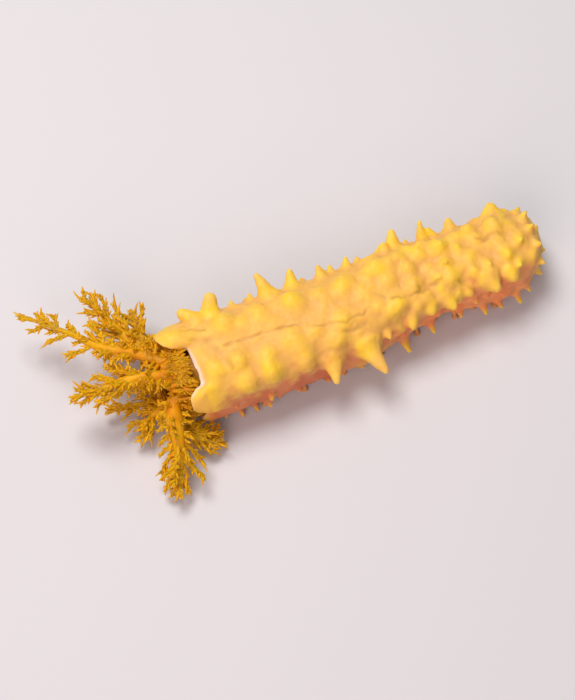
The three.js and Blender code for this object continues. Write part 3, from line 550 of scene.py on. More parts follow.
# Shoots that fill gaps of the crown: tentacle, share of its stem, place of the tip
REACHING_SHOOTS = [
    (9, 0.48, (-20.9, -4.4, 2.7)), (9, 0.56, (-20.3, -4.3, 2.2)), (9, 0.64, (-19.6, -4.8, 1.9)),
    (9, 0.74, (-19.0, -5.3, 1.7)), (9, 0.6, (-20.5, -5.3, 2.4)),
    (10, 0.3, (-25.4, -4.3, 3.8)), (10, 0.4, (-25.8, -5.4, 3.1)), (10, 0.5, (-26.2, -6.4, 2.5)),
    (10, 0.66, (-26.8, -8.8, 1.7)), (10, 0.76, (-26.9, -9.9, 1.3)), (10, 0.86, (-26.4, -10.6, 1.2)),
    (8, 0.6, (-25.9, -3.6, 2.2)), (8, 0.4, (-24.9, -3.4, 2.6)),
    (1, 0.3, (-26.4, -0.2, 5.9)), (1, 0.36, (-27.1, -0.2, 5.8)), (1, 0.42, (-27.8, 0.2, 5.6)),
    (1, 0.47, (-28.3, 0.1, 5.4)),
]


def clear_of_wall(points):
    points = np.asarray(points)
    if (points[:, 2] < FLOOR_CLEARANCE).any() or (points[:, 2] > HIGHEST_TWIG).any():
        return False
    near = points[:, 0] > FRONT_X - 0.2
    if not near.any():
        return True
    off = points[near] - wall_axis(points[near, 0])
    reach = wall_radius(points[near, 0], np.arctan2(off[:, 2], off[:, 1])) + 0.15
    return not (np.hypot(off[:, 1], off[:, 2]) < reach).any()


def add_shoot(tentacle, points, share, level, turn):
    tentacle["limbs"].append(dict(points=points, share=share, level=level, turn=turn))


def side_shoots(tentacle, draw):
    """Short shoots between the arms."""
    path = tentacle["path"]
    count = tentacle["arms"] + tentacle["branches"]
    for index in range(count):
        along = (index + 0.5) / count
        share = mix(0.16, 0.99, along)
        turn = math.radians(index * GOLDEN_TURN + around(draw, 0, 30))
        size = tentacle["reach"] * around(draw, *SHOOT_SIZE) * math.sin(math.pi * (0.3 + 0.5 * along))
        points = shoot(path.point(share), path.tangent(share), turn, around(draw, *SHOOT_OPENING),
                       size, 0.5, 3)
        if clear_of_body(points, [SHOOT_RADIUS] * len(points)):
            add_shoot(tentacle, points, share, SHOOT, turn)


def root_tufts(tentacle, draw):
    """Bushy tufts on the stem's root, shorter where the wall is near."""
    path = tentacle["path"]
    tufts = int(ROOT_TUFTS * path.length * ROOT_SHARE)
    for index in range(tufts):
        along = (index + draw()) / tufts
        share = mix(0.3 / path.length, 0.42, along)
        turn = math.radians(index * GOLDEN_TURN + around(draw, 0, 50))
        size = around(draw, *ROOT_TUFT_SIZE) * mix(1, 0.75, along)
        opening = mix(*ROOT_TUFT_OPENINGS, along) + around(draw, 0, 16)
        for shortening in (1, 0.75, 0.55):
            points = shoot(path.point(share), path.tangent(share), turn, opening, size * shortening, 0.2, 3)
            if clear_of_wall(points):
                add_shoot(tentacle, points, share, TUFT, turn)
                break


def collar_tufts(tentacle, draw):
    """Tufts that lie along the collar, under the front rim's lobes."""
    for _ in range(COLLAR_TUFTS):
        turn = math.radians(tentacle["ring"] + around(draw, 0, 26))
        sway = math.radians(around(draw, 0, 22))
        first, last = ROOT_X - around(draw, *COLLAR_TUFT_START), around(draw, *COLLAR_TUFT_END)
        low, high = around(draw, *COLLAR_TUFT_LOW), around(draw, *COLLAR_TUFT_HIGH)
        points = [over_collar(mix(first, last, part), mix(low, high, math.sin(math.pi * 0.6 * part)),
                              turn + sway * part) for part in (0, 0.25, 0.5, 0.75, 1)]
        if clear_of_wall(points):
            add_shoot(tentacle, points, 0.02, TUFT, turn)


def reaching_shoots(tentacle, draw):
    for number, share, end in REACHING_SHOOTS:
        if TENTACLES[number - 1] is tentacle:
            start, end = tentacle["path"].point(share), np.array(end)
            middle = mix(start, end, 0.5) + [0, 0, 0.3]
            add_shoot(tentacle, [start, middle, end], share, SHOOT, TAU * draw())


def fine_twigs(tentacle, draw):
    """Twigs on every limb that isn't a twig itself."""
    for limb in [limb for limb in tentacle["limbs"] if limb["level"] < TWIG]:
        curve = Path(limb["points"])
        count = int(FINE_TWIGS * curve.length)
        for index in range(count):
            share = mix(0.14, 0.98, (index + 0.5) / count)
            turn = math.radians(180 * index + around(draw, 10, 48))
            size = around(draw, *FINE_TWIG_SIZE) * (1.15 - 0.4 * share)
            points = shoot(curve.point(share), curve.tangent(share), turn, around(draw, *FINE_TWIG_OPENING),
                           size, 0.45, 3)
            if clear_of_wall(points):
                add_shoot(tentacle, points, limb["share"], FINE_TWIG, limb["turn"])


for tentacle in TENTACLES:
    chance = seeded(tentacle["seed"] + 7000)
    for grow in (side_shoots, root_tufts, collar_tufts, reaching_shoots, fine_twigs):
        grow(tentacle, chance)


# Meshes

def rows_to_mesh(name, points, faces):
    mesh = bpy.data.meshes.new(name)
    mesh.from_pydata([tuple(p) for p in points], [], faces)
    mesh.update()
    return mesh


def add_object(name, mesh):
    made = bpy.data.objects.new(name, mesh)
    bpy.context.scene.collection.objects.link(made)
    return made


def plain_mesh(made):
    """What the object looks like with its modifiers, as a plain mesh; the object goes."""
    evaluated = made.evaluated_get(bpy.context.evaluated_depsgraph_get())
    mesh = bpy.data.meshes.new_from_object(evaluated)
    old = made.data
    bpy.data.objects.remove(made)
    bpy.data.meshes.remove(old)
    return mesh


def paths_mesh(name, paths):
    """One mesh of open chains of edges; each path is points, girths and a dict of numbers for each point."""
    vertices, edges, start = [], [], 0
    for points, girths, marks in paths:
        vertices.extend(tuple(p) for p in points)
        edges.extend((start + i, start + i + 1) for i in range(len(points) - 1))
        start += len(points)
    mesh = bpy.data.meshes.new(name)
    mesh.from_pydata(vertices, edges, [])
    columns = {"girth": np.concatenate([g for _, g, _ in paths])}
    for key in paths[0][2]:
        columns[key] = np.concatenate([np.broadcast_to(marks[key], len(points))
                                       for points, _, marks in paths])
    for key, values in columns.items():
        mesh.attributes.new(key, "FLOAT", "POINT").data.foreach_set("value", values.astype(np.float32))
    return mesh


def add(tree, kind, inputs=None, **settings):
    """Adds a node with its settings. An input is a value or another node's output."""
    made = tree.nodes.new(kind)
    for key, value in settings.items():
        setattr(made, key, value)
    for key, value in (inputs or {}).items():
        if isinstance(key, int):
            socket = made.inputs[key]
        else:
            socket = next(s for s in made.inputs if s.name == key and s.enabled)
        if isinstance(value, bpy.types.NodeSocket):
            tree.links.new(value, socket)
        else:
            socket.default_value = value
    return made


def new_tree(name, sizes):
    """A tree of geometry nodes with named inputs for its sizes."""
    tree = bpy.data.node_groups.new(name, "GeometryNodeTree")
    tree.interface.new_socket("Geometry", in_out="OUTPUT", socket_type="NodeSocketGeometry")
    tree.interface.new_socket("Geometry", in_out="INPUT", socket_type="NodeSocketGeometry")
    for key, kind in sizes.items():
        tree.interface.new_socket(key, in_out="INPUT", socket_type="NodeSocket" + kind)
    return tree, add(tree, "NodeGroupInput").outputs


def close_tree(tree, geometry, material):
    real = add(tree, "GeometryNodeRealizeInstances", {"Geometry": geometry})
    smooth = add(tree, "GeometryNodeSetShadeSmooth", {"Geometry": real.outputs[0]})
    dressed = add(tree, "GeometryNodeSetMaterial", {"Geometry": smooth.outputs[0], "Material": material})
    add(tree, "NodeGroupOutput", {"Geometry": dressed.outputs[0]})


def grown(name, mesh, tree, **values):
    """The mesh after a tree with these inputs, as a plain mesh."""
    made = add_object(name, mesh)
    modifier = made.modifiers.new(name, "NODES")
    modifier.node_group = tree
    for socket in tree.interface.items_tree:
        if socket.in_out == "INPUT" and socket.name in values:
            modifier[socket.identifier] = values[socket.name]
    return plain_mesh(made)


def named(tree, key):
    return add(tree, "GeometryNodeInputNamedAttribute", {"Name": key}, data_type="FLOAT").outputs[0]


def store(tree, geometry, key, value):
    return add(tree, "GeometryNodeStoreNamedAttribute", {"Geometry": geometry, "Name": key, "Value": value},
               data_type="FLOAT", domain="POINT").outputs[0]


def calculated(tree, operation, *values):
    """The outcome of a sum whose parts are numbers or other nodes' outputs."""
    return add(tree, "ShaderNodeMath", dict(enumerate(values)), operation=operation).outputs[0]


def swept(tree, rail, sides, girth):
    """A closed round body along a rail, with each corner's place round it kept."""
    ring = add(tree, "GeometryNodeCurvePrimitiveCircle", {"Resolution": sides, "Radius": 1.0}, mode="RADIUS")
    profile = store(tree, ring.outputs[0], "turn", add(tree, "GeometryNodeSplineParameter").outputs["Factor"])
    return add(tree, "GeometryNodeCurveToMesh",
               {"Curve": rail, "Profile Curve": profile, "Scale": girth, "Fill Caps": True}).outputs[0]


def sweep_tree():
    """Round flesh along each chain of edges, as thick as its girth says."""
    tree, given = new_tree("round limb", {"Sides": "Int", "Material": "Material"})
    curve = add(tree, "GeometryNodeMeshToCurve", {"Mesh": given["Geometry"]})
    share = add(tree, "GeometryNodeSplineParameter").outputs["Factor"]
    rail = store(tree, curve.outputs[0], "along", share)
    close_tree(tree, swept(tree, rail, given["Sides"], named(tree, "girth")), given["Material"])
    return tree


FINGER_TURN, FIRST_FINGER_TURN = 2.4, 0.5
FINGER_SIDES, FINGER_BLUNTNESS, FINGER_TAPER, FINGER_TIP = 5, 5.0, 0.5, 0.09


def turned_on(tree, rotation, axis, angle):
    """A rotation turned on round one of its own axes."""
    turn = add(tree, "FunctionNodeAxisAngleToRotation", {"Axis": axis, "Angle": angle})
    return add(tree, "FunctionNodeRotateRotation", {"Rotation": rotation, "Rotate By": turn.outputs[0]},
               rotation_space="LOCAL").outputs[0]


def finger_form(tree, thickness):
    """One bent, blunt finger, about a unit long."""
    spine = add(tree, "GeometryNodeCurveQuadraticBezier",
                {"Resolution": 5, "Start": (0, 0, 0), "Middle": (0, -0.08, 0.6), "End": (0, 0.26, 0.95)})
    share = add(tree, "GeometryNodeSplineParameter").outputs["Factor"]
    rail = store(tree, spine.outputs[0], "along", share)
    away = calculated(tree, "SUBTRACT", 1.0, calculated(tree, "POWER", share, FINGER_BLUNTNESS))
    rounding = calculated(tree, "POWER", away, 0.5)
    narrowing = calculated(tree, "MULTIPLY_ADD", share, -FINGER_TAPER, 1.0)
    tapered = calculated(tree, "MULTIPLY", rounding, narrowing)
    girth = calculated(tree, "MULTIPLY", tapered, thickness)
    flesh = swept(tree, rail, FINGER_SIDES, calculated(tree, "MAXIMUM", girth, FINGER_TIP))
    return store(tree, flesh, "finger", 1.0)


def finger_tree():
    """Small blunt fingers that stand at a slant along each chain of edges, turn by turn."""
    tree, given = new_tree("fingers along a limb", {
        "Spacing": "Float", "Length": "Float", "Girth Share": "Float", "Thickness": "Float",
        "Opening": "Float", "Bare": "Float", "Material": "Material"})
    curve = add(tree, "GeometryNodeMeshToCurve", {"Mesh": given["Geometry"]})
    clothed = add(tree, "GeometryNodeTrimCurve",
                  {"Curve": curve.outputs[0], "Start": given["Bare"], "End": 1.0}, mode="FACTOR")
    spaced = add(tree, "GeometryNodeResampleCurve",
                 {"Curve": clothed.outputs[0], "Length": given["Spacing"]}, mode="LENGTH")
    tangent = add(tree, "GeometryNodeInputTangent").outputs[0]
    aligned = add(tree, "FunctionNodeAlignRotationToVector", {"Vector": tangent}, axis="Z").outputs[0]
    index = add(tree, "GeometryNodeInputIndex").outputs[0]
    turn = calculated(tree, "MULTIPLY_ADD", index, FINGER_TURN, FIRST_FINGER_TURN)
    turned = turned_on(tree, aligned, (0, 0, 1), turn)
    tilted = turned_on(tree, turned, (1, 0, 0), given["Opening"])
    length = calculated(tree, "MULTIPLY_ADD", named(tree, "girth"), given["Girth Share"], given["Length"])
    planted = add(tree, "GeometryNodeInstanceOnPoints",
                  {"Points": spaced.outputs[0], "Instance": finger_form(tree, given["Thickness"]),
                   "Rotation": tilted, "Scale": length})
    close_tree(tree, planted.outputs[0], given["Material"])
    return tree


def joined(name, meshes):
    """One mesh out of several, with their attributes."""
    objects = [add_object(name, mesh) for mesh in meshes]
    for item in objects:
        item.select_set(True)
    bpy.context.view_layer.objects.active = objects[0]
    with bpy.context.temp_override(active_object=objects[0], selected_editable_objects=objects,
                                   selected_objects=objects):
        bpy.ops.object.join()
    objects[0].select_set(False)
    objects[0].name = objects[0].data.name = name
    return objects[0]


def corners(mesh):
    places = np.empty(len(mesh.vertices) * 3)
    mesh.vertices.foreach_get("co", places)
    return places.reshape(-1, 3)


def set_corners(mesh, places):
    mesh.vertices.foreach_set("co", np.ascontiguousarray(places, float).ravel())
    mesh.update()


def read_mark(mesh, key):
    values = np.zeros(len(mesh.vertices), np.float32)
    if key in mesh.attributes:
        mesh.attributes[key].data.foreach_get("value", values)
    return values


def write_mark(mesh, key, values):
    if key in mesh.attributes:
        mesh.attributes.remove(mesh.attributes[key])
    mesh.attributes.new(key, "FLOAT", "POINT").data.foreach_set("value", np.asarray(values, np.float32))


# Materials

def colour(code):
    """A colour given as sRGB hex, turned to linear."""
    parts = [int(code[i:i + 2], 16) / 255 for i in (1, 3, 5)]
    return (*[c / 12.92 if c <= 0.04045 else ((c + 0.055) / 1.055) ** 2.4 for c in parts], 1.0)


def new_material(name):
    made = bpy.data.materials.new(name)
    made.use_nodes = True
    made.node_tree.nodes.clear()
    return made, made.node_tree


def blend_colour(tree, factor, first, second):
    made = add(tree, "ShaderNodeMix", data_type="RGBA")
    for index, value in ((0, factor), (6, first), (7, second)):
        if isinstance(value, bpy.types.NodeSocket):
            tree.links.new(value, made.inputs[index])
        else:
            made.inputs[index].default_value = value
    return made.outputs[2]


def spread_of(tree, value, low, high):
    """A value's smooth rise from 0 at low to 1 at high."""
    return add(tree, "ShaderNodeMapRange", {"Value": value, "From Min": low, "From Max": high},
               interpolation_type="SMOOTHSTEP").outputs[0]


def speckle(tree, size, detail=3.0, distortion=0.0):
    """Soft noise whose blotches are about this many millimetres across."""
    place = add(tree, "ShaderNodeTexCoord").outputs["Object"]
    return add(tree, "ShaderNodeTexNoise", {"Vector": place, "Scale": 1 / (size * MM), "Detail": detail,
                                            "Roughness": 0.55, "Distortion": distortion}).outputs["Fac"]


def mark(tree, key):
    return add(tree, "ShaderNodeAttribute", attribute_name=key, attribute_type="GEOMETRY").outputs["Fac"]


def body_wall_skin():
    """Living sea cucumber skin: leathery, moist and a little see-through, so light softens in it. Its
    swellings are lemon yellow, partly their own tone and partly painted light on their tops; its
    hollows carry peach painted shade and its folds olive painted shade; its flanks are brownish,
    their own colour with painted shade in it; a pale highlight is painted on the front rim's lip;
    and the collar is amber."""
    made, tree = new_material("living sea cucumber skin")
    hollow = spread_of(tree, mark(tree, "hollow"), -0.07, 0.08)
    rise = spread_of(tree, mark(tree, "rise"), 0.05, 0.8)
    mottle = spread_of(tree, speckle(tree, 2.6, 3.0, 0.4), 0.32, 0.66)
    fine = spread_of(tree, speckle(tree, 0.5, 2.0), 0.3, 0.7)
    place = add(tree, "ShaderNodeTexCoord").outputs["Object"]
    along = add(tree, "ShaderNodeSeparateXYZ", {0: place}).outputs["X"]
    rear = spread_of(tree, along, -8 * MM, 6 * MM)
    crown = mark(tree, "crown")
    peach_hollow_shade, butter, lemon_and_top_light, straw = (colour(code) for code in ("#E0AC5A", "#EAB950", "#F3CB36", "#FFD070"))
    # the olive is painted shade for the folds
    fold_shade_olive, foot, lip = colour("#7E5A12"), colour("#D8985A"), colour("#FBE6DC")
    # the flanks' own brownish pink with painted shade in it, redder at the front
    front_flank_and_shade = blend_colour(tree, mottle, colour("#CC6C42"), colour("#D98654"))
    rear_flank_and_shade = blend_colour(tree, mottle, colour("#E48450"), colour("#EE9E60"))
    amber = blend_colour(tree, mottle, colour("#B47800"), colour("#CC8E00"))
    # painted shade: darker peach where the skin is hollow, butter where it swells
    skin = blend_colour(tree, hollow, peach_hollow_shade, butter)
    for share, tint in (
            # lemon on the swellings: partly their own tone, partly painted light on their tops
            (calculated(tree, "MULTIPLY", rise, mottle), lemon_and_top_light),
            (calculated(tree, "MULTIPLY", fine, 0.14), straw),
            (calculated(tree, "MULTIPLY", mark(tree, "tip"), 0.45), straw),
            # painted shade in the folds, olive
            (calculated(tree, "MULTIPLY", mark(tree, "fold_shade"), 0.3), fold_shade_olive),
            # flanks: their own brownish colour and painted shade
            (mark(tree, "flank_and_shade"), blend_colour(tree, rear, front_flank_and_shade, rear_flank_and_shade)),
            (mark(tree, "foot"), foot),
            (crown, amber),
            # a painted pale highlight on the front rim's inner lip
            (mark(tree, "rim"), lip)):
        skin = blend_colour(tree, share, skin, tint)
    bump = add(tree, "ShaderNodeBump",
               {"Height": speckle(tree, 0.4, 3.0, 0.6), "Distance": 0.05 * MM, "Strength": 0.45})
    rough = add(tree, "ShaderNodeMapRange", {"Value": speckle(tree, 0.8), "To Min": 0.46, "To Max": 0.62})
    shader = add(tree, "ShaderNodeBsdfPrincipled", {
        "Base Color": skin, "Roughness": rough.outputs[0], "IOR": 1.4,
        "Subsurface Weight": calculated(tree, "MULTIPLY_ADD", crown, -0.32, 0.4),
        "Subsurface Radius": (1.0, 0.62, 0.3), "Subsurface Scale": 0.8 * MM, "Specular IOR Level": 0.4,
        "Coat Weight": 0.04, "Coat Roughness": 0.35, "Normal": bump.outputs[0]})
    add(tree, "ShaderNodeOutputMaterial", {"Surface": shader.outputs[0]})
    return made


def tentacle_flesh():
    """Moist feeding tentacles: clear amber flesh, deep at the root, golden along the plume, with pale
    fingers that let light through."""
    made, tree = new_material("moist tentacle flesh")
    reach = mark(tree, "reach")
    mottle = spread_of(tree, speckle(tree, 1.1, 2.0, 0.3), 0.3, 0.7)
    deep = blend_colour(tree, mottle, colour("#C87E00"), colour("#D69000"))
    golden = blend_colour(tree, mottle, colour("#DA9800"), colour("#ECAE08"))
    flesh = blend_colour(tree, spread_of(tree, reach, 0.05, 0.5), deep, golden)
    finger_tip = calculated(tree, "MULTIPLY", mark(tree, "along"), mark(tree, "finger"))
    pale = calculated(tree, "MULTIPLY", finger_tip, spread_of(tree, reach, -0.3, 0.9))
    flesh = blend_colour(tree, pale, flesh, colour("#EEB850"))
    bump = add(tree, "ShaderNodeBump",
               {"Height": speckle(tree, 0.2, 2.0), "Distance": 0.03 * MM, "Strength": 0.5})
    shader = add(tree, "ShaderNodeBsdfPrincipled", {
        "Base Color": flesh, "Roughness": 0.5, "IOR": 1.36, "Specular IOR Level": 0.3,
        "Subsurface Weight": 0.6, "Subsurface Radius": (1.0, 0.82, 0.5), "Subsurface Scale": 0.45 * MM,
        "Coat Weight": 0.03, "Coat Roughness": 0.25, "Normal": bump.outputs[0]})
    add(tree, "ShaderNodeOutputMaterial", {"Surface": shader.outputs[0]})
    return made


def studio_paper():
    """Matt pale backdrop paper under the model."""
    made, tree = new_material("matt pale paper")
    shader = add(tree, "ShaderNodeBsdfPrincipled", {"Base Color": colour("#CCCFD6"), "Roughness": 0.7})
    add(tree, "ShaderNodeOutputMaterial", {"Surface": shader.outputs[0]})
    return made


skin_material, flesh_material = body_wall_skin(), tentacle_flesh()
round_limb, fingers = sweep_tree(), finger_tree()


# The skin

def lobe_shift(angle):
    """How far the front rim reaches forward at an angle, and how far it splays out there."""
    shift, flare = 0 * angle, 0 * angle
    for degrees, reach, width, splay in ORAL_LOBES:
        off = np.abs((angle - math.radians(degrees) + math.pi) % TAU - math.pi) / (1.25 * width / 4.3)
        lobe = np.clip(1 - off**3.2, 0, 1) ** 0.55
        shift = np.maximum(shift, (reach - 0.55) * lobe)
        flare = np.maximum(flare, splay * lobe)
    waver = np.array([noise.noise(Vector((4.2 * math.cos(a), 4.2 * math.sin(a), 7))) for a in angle])
    fray = np.array([noise.noise(Vector((11 * math.cos(a), 11 * math.sin(a), 3))) for a in angle])
    return shift + 0.22 * waver + 0.1 * fray, flare + 0.16 * waver


def low_bumps():
    """Round swellings as place along X, angle, height and radius: low papillae, and soft knobs between
    all papillae, few and broad at the front, and pressed together towards the tail."""
    bumps = []
    taken = []
    for root, direction, length, radius, tip in papillae:
        off = root - wall_axis(root[0])
        angle = math.atan2(off[2], off[1]) % TAU
        taken.append((root, radius))
        if length < 0.9 * radius:
            bumps.append((root[0], angle, 1.05 * length, 1.35 * radius))
    draw = seeded(77)
    for _ in range(1800):
        x = mix(-19.3, 18.9, draw())
        angle = math.radians(mix(-5, 185, draw()))
        rear = float(step(-3, 5, x))
        lobed = float(step(-17.0, -18.6, x))
        spacing = around(draw, mix(mix(3.1, 1.5, rear), 1.5, lobed), 0.2)
        root = wall_point(x, angle)
        if all(np.linalg.norm(root - other) > 0.5 * spacing + 0.62 * size for other, size in taken):
            taken.append((root, 0.8 * spacing))
            height = mix(mix(0.16, 0.46, rear), 0.26, lobed) * around(draw, 1, 0.4)
            bumps.append((x, angle, height, 0.6 * spacing))
    return bumps


BUMPS = low_bumps()


def bump_heights(x, angles, base):
    """The height of the round swellings on one ring of the wall."""
    heights = np.zeros_like(angles)
    for bump_x, bump_angle, height, radius in BUMPS:
        if abs(x - bump_x) < 2.5 * radius:
            turned = np.abs((angles - bump_angle + math.pi) % TAU - math.pi)
            distance = np.hypot(x - bump_x, base * turned) / radius
            heights = np.maximum(heights, height * np.exp(-1.05 * distance**2.3))
    return heights


def lumps(x, angle):
    """Soft uneven swelling of the whole wall, low at the front and higher towards the tail."""
    base = plain_radius(x, angle)
    rear = step(-6, 4, x)
    heights = np.zeros_like(x)
    for index in range(len(x)):
        place = Vector((x[index], base[index] * math.cos(angle[index]), base[index] * math.sin(angle[index])))
        sway = noise.noise_vector(place * 0.6) * 0.5
        close = noise.voronoi((place + sway) / 2.1)[0][0]
        heights[index] = mix(0.05, 0.2, rear[index]) * (1 - (close / 0.6) ** 2)
    return np.maximum(heights, -0.25) + bump_heights(x[0], angle, base)


def wall_mesh():
    """The body wall as a closed sleeve with a curled front rim, a hollow behind it and a dimpled tail."""
    sides, rounds = 300, 380
    angles = TAU * np.arange(sides) / sides - math.pi / 2
    shift, flare = lobe_shift(angles)
    rows = []

    def ring(x, share, dx=0.0, inset=0.0, forward=0.0):
        axis = wall_axis(x)
        radius = wall_radius(np.full(sides, x), angles, creased=False) * share - inset + flare * forward
        rows.append(np.stack([x + dx - shift * forward, axis[1] + radius * np.cos(angles),
                              axis[2] + radius * np.sin(angles)], axis=1))

    # the rim's curl, from the hollow behind it: place behind the front, share of the radius, offset
    # along X, inset, share of the lobes' reach
    for behind, *curl in (
            (1.6, 0.62), (1.5, 0.74), (0.9, 0.84, 0, 0, 0.15), (0.5, 1, -0.15, 0.55, 0.75),
            (0.35, 1, -0.3, 0.36, 0.98), (0.35, 1, -0.32, 0.18, 1), (0.35, 1, -0.2, 0.05, 0.98)):
        ring(FRONT_X + behind, *curl)
    for index in range(rounds + 1):
        x = mix(FRONT_X + 0.35, TAIL_X, index / rounds)
        past_rim = x - FRONT_X - 0.35
        lump = lumps(np.full(sides, x), angles) * step(-0.1, 0.5, past_rim) * step(0, 0.8, TAIL_X - x)
        ring(x, 1, 0, -lump, float(step(3.4, 0.0, past_rim)) * 0.93)
    for share, dx in ((0.93, 0.16), (0.82, 0.3), (0.66, 0.38), (0.5, 0.36), (0.36, 0.2), (0.22, -0.1)):
        ring(TAIL_X, share, dx)
    points = np.concatenate(rows)
    faces = []
    for r in range(len(rows) - 1):
        for s in range(sides):
            a, b = r * sides + s, r * sides + (s + 1) % sides
            faces.append((a, b, b + sides, a + sides))
    faces.append(tuple(range(sides))[::-1])
    last = (len(rows) - 1) * sides
    faces.append(tuple(range(last, last + sides)))
    return rows_to_mesh("wall", points, faces)


def papilla_path(root, direction, length, radius, tip, blunt=0.5):
    """A papilla as a path: a flared foot, a soft cone and a rounded tip, bowed a little."""
    axis = wall_axis(root[0])
    away = unit(root - axis)
    heights = np.array([-0.7 / length, 0.0, 0.07, 0.14, 0.22, 0.32, 0.45, 0.6, 0.75, 0.87, 0.95, 1.0])
    bowed = [root + length * h * unit(mix(away, direction, min(1, 0.45 + 0.55 * max(h, 0))))
             for h in heights]
    tip = max(1.2 * tip, 0.15 + 0.16 * radius)
    cone = tip + (radius - tip) * np.clip(1 - heights, 0, 1) ** 1.1
    flare = 0.5 * radius * np.exp(-np.maximum(heights, 0) * length / (0.36 * radius + 0.08))
    dome = blunt * tip / length * 2
    rounding = np.sqrt(np.clip(1 - (np.maximum(heights - (1 - dome), 0) / dome) ** 2, 0.04, 1))
    return bowed, (cone + flare) * rounding, {}


def point_paths():
    """Small points on some of the rear knobs."""
    draw = seeded(177)
    for x, angle, height, radius in BUMPS:
        if x > 4 and draw() < 0.3:
            root = wall_point(x, angle)
            away = outward(angle, around(draw, 0.15, 0.3))
            yield papilla_path(root + 0.5 * height * away, away, around(draw, 0.75, 0.25), 0.42, 0.16)


def foot_paths():
    for x, y, splay in foot_places():
        heights = [SOLE_LIFT + 0.8, SOLE_LIFT + 0.1, 0.32, FOOT_DISC_HEIGHT, 0.08, 0.0]
        shares = [0, 0.1, 0.5, 0.75, 0.95, 1]
        girths = [0.34, 0.3, 0.25, FOOT_COLUMN + 0.03, FOOT_DISC, 0.93 * FOOT_DISC]
        yield [np.array([x, y + splay * s, h]) for s, h in zip(shares, heights)], np.array(girths), {}


def collar_paths():
    """The soft neck with its ring folds, and the lip of the mouth."""
    xs = np.linspace(FRONT_X + 2.0, COLLAR_FRONT + 0.02, 44)
    share = (xs - xs[0]) / (xs[-1] - xs[0])
    rim = np.exp(-((xs - COLLAR_FRONT - 0.12) / 0.42) ** 2)
    girths = COLLAR_NECK + 0.07 * np.sin(share * TAU * 4.5) + (COLLAR_RIM - COLLAR_NECK) * rim
    girths[-1] -= 0.35
    yield [np.array([x, 0, COLLAR_HEIGHT]) for x in xs], girths, {}
    rises = np.array([-0.8, 0.0, 0.25, 0.45, MOUTH_DOME, 0.6])
    girths = MOUTH_RADIUS * np.array([1, 1, 0.93, 0.78, 0.55, 0.3])
    yield [np.array([ROOT_X + 0.3 - rise, 0, COLLAR_HEIGHT]) for rise in rises], girths, {}


def stem_root_paths():
    """The stalks' roots, which the skin carries; each sinks into its own plume."""
    for tentacle in TENTACLES:
        last = tentacle["bare"] + 0.12
        shares, points = tentacle["path"].even(26, 0.0, last)
        root = points[0] + np.array([0.6, 0, 0])
        points = np.concatenate([[root], points])
        girths = np.array([stem_radius(tentacle, s) for s in shares])
        girths = girths + 0.12 * np.exp(-shares * tentacle["path"].length / 0.5)
        girths = girths * (1 - 0.75 * step(tentacle["bare"] - 0.02, last, shares))
        yield list(points), np.concatenate([[girths[0]], girths]), {}


def neighbour_sums(mesh):
    """The mesh's edges, and how many of them meet at each vertex."""
    edges = np.empty(len(mesh.edges) * 2, np.int64)
    mesh.edges.foreach_get("vertices", edges)
    edges = edges.reshape(-1, 2)
    return edges, np.bincount(edges.ravel(), minlength=len(mesh.vertices))


def smoothed(values, edges, counts, rounds, strength=0.6):
    values = np.array(values, float)
    flat = values.ndim == 1
    if flat:
        values = values[:, None]
    first, second = edges[:, 0], edges[:, 1]
    for _ in range(rounds):
        total = np.zeros_like(values)
        for column in range(values.shape[1]):
            total[:, column] = (np.bincount(first, values[second, column], minlength=len(values))
                                + np.bincount(second, values[first, column], minlength=len(values)))
        values += strength * (total / counts[:, None] - values)
    return values[:, 0] if flat else values


# Folds of the back, each a line of (place along X, degrees) with a depth and a width
FOLDS = [
    ([(-16.8, 91), (-14.2, 90), (-11.7, 92), (-9.6, 93), (-8.0, 97)], 0.08, 0.14),
    ([(-7.6, 103), (-5.6, 111), (-3.6, 117), (-1.9, 118), (-0.6, 115)], 0.08, 0.14),
    ([(1.6, 114), (3.0, 118), (4.4, 122), (5.3, 125), (6.4, 122), (7.5, 117), (9.2, 108)], 0.14, 0.15),
    ([(-17.9, 70), (-17.2, 88), (-16.6, 104), (-16.3, 122)], 0.07, 0.3),
    ([(4.9, 112), (5.2, 118), (5.35, 125)], 0.07, 0.2),
    ([(0.2, 96), (0.9, 102), (1.3, 110)], 0.05, 0.22),
    ([(-4.4, 128), (-2.6, 133), (-0.9, 130)], 0.09, 0.2),
    ([(-19.9, 64), (-18.4, 68), (-16.8, 77)], 0.1, 0.2),
    ([(-19.8, 50), (-18.6, 52), (-17.4, 58)], 0.08, 0.18),
    ([(8.9, 122), (9.9, 134), (10.6, 146)], 0.1, 0.25),
    ([(12.2, 70), (13.4, 78), (14.6, 76), (16.2, 82)], 0.09, 0.25),
]


def fold_depth(x, angle, radius):
    depth = np.zeros_like(x)
    for line, deep, width in FOLDS:
        nearest = np.full_like(x, 1e9)
        for (xa, aa), (xb, ab) in zip(line, line[1:]):
            du, dv = xb - xa, np.radians(ab - aa) * radius
            pu, pv = x - xa, (angle - math.radians(aa)) * radius
            share = np.clip((pu * du + pv * dv) / (du * du + dv * dv), 0, 1)
            nearest = np.minimum(nearest, np.hypot(pu - share * du, pv - share * dv))
        fade = step(line[0][0] - 0.2, line[0][0] + 0.9, x) * step(line[-1][0] + 0.2, line[-1][0] - 0.9, x)
        if abs(line[-1][0] - line[0][0]) < 2.5:
            fade = 1
        depth = np.maximum(depth, fade * deep * np.exp(-(nearest / width) ** 2))
        depth = depth - 0.28 * fade * deep * np.exp(-((nearest - 2.3 * width) / width) ** 2)
    return depth


VOXEL = 0.165


def near_stems(places):
    """1 on the tentacles' roots, 0 away from them."""
    held = np.zeros(len(places))
    front = np.nonzero(places[:, 0] < FRONT_X - 0.4)[0]
    for tentacle in TENTACLES:
        for share, point in zip(*tentacle["path"].even(40, 0.0, tentacle["bare"] + 0.12)):
            distance = np.linalg.norm(places[front] - point, axis=1) - stem_radius(tentacle, share)
            held[front] = np.maximum(held[front], step(0.5, 0.25, distance))
    return held


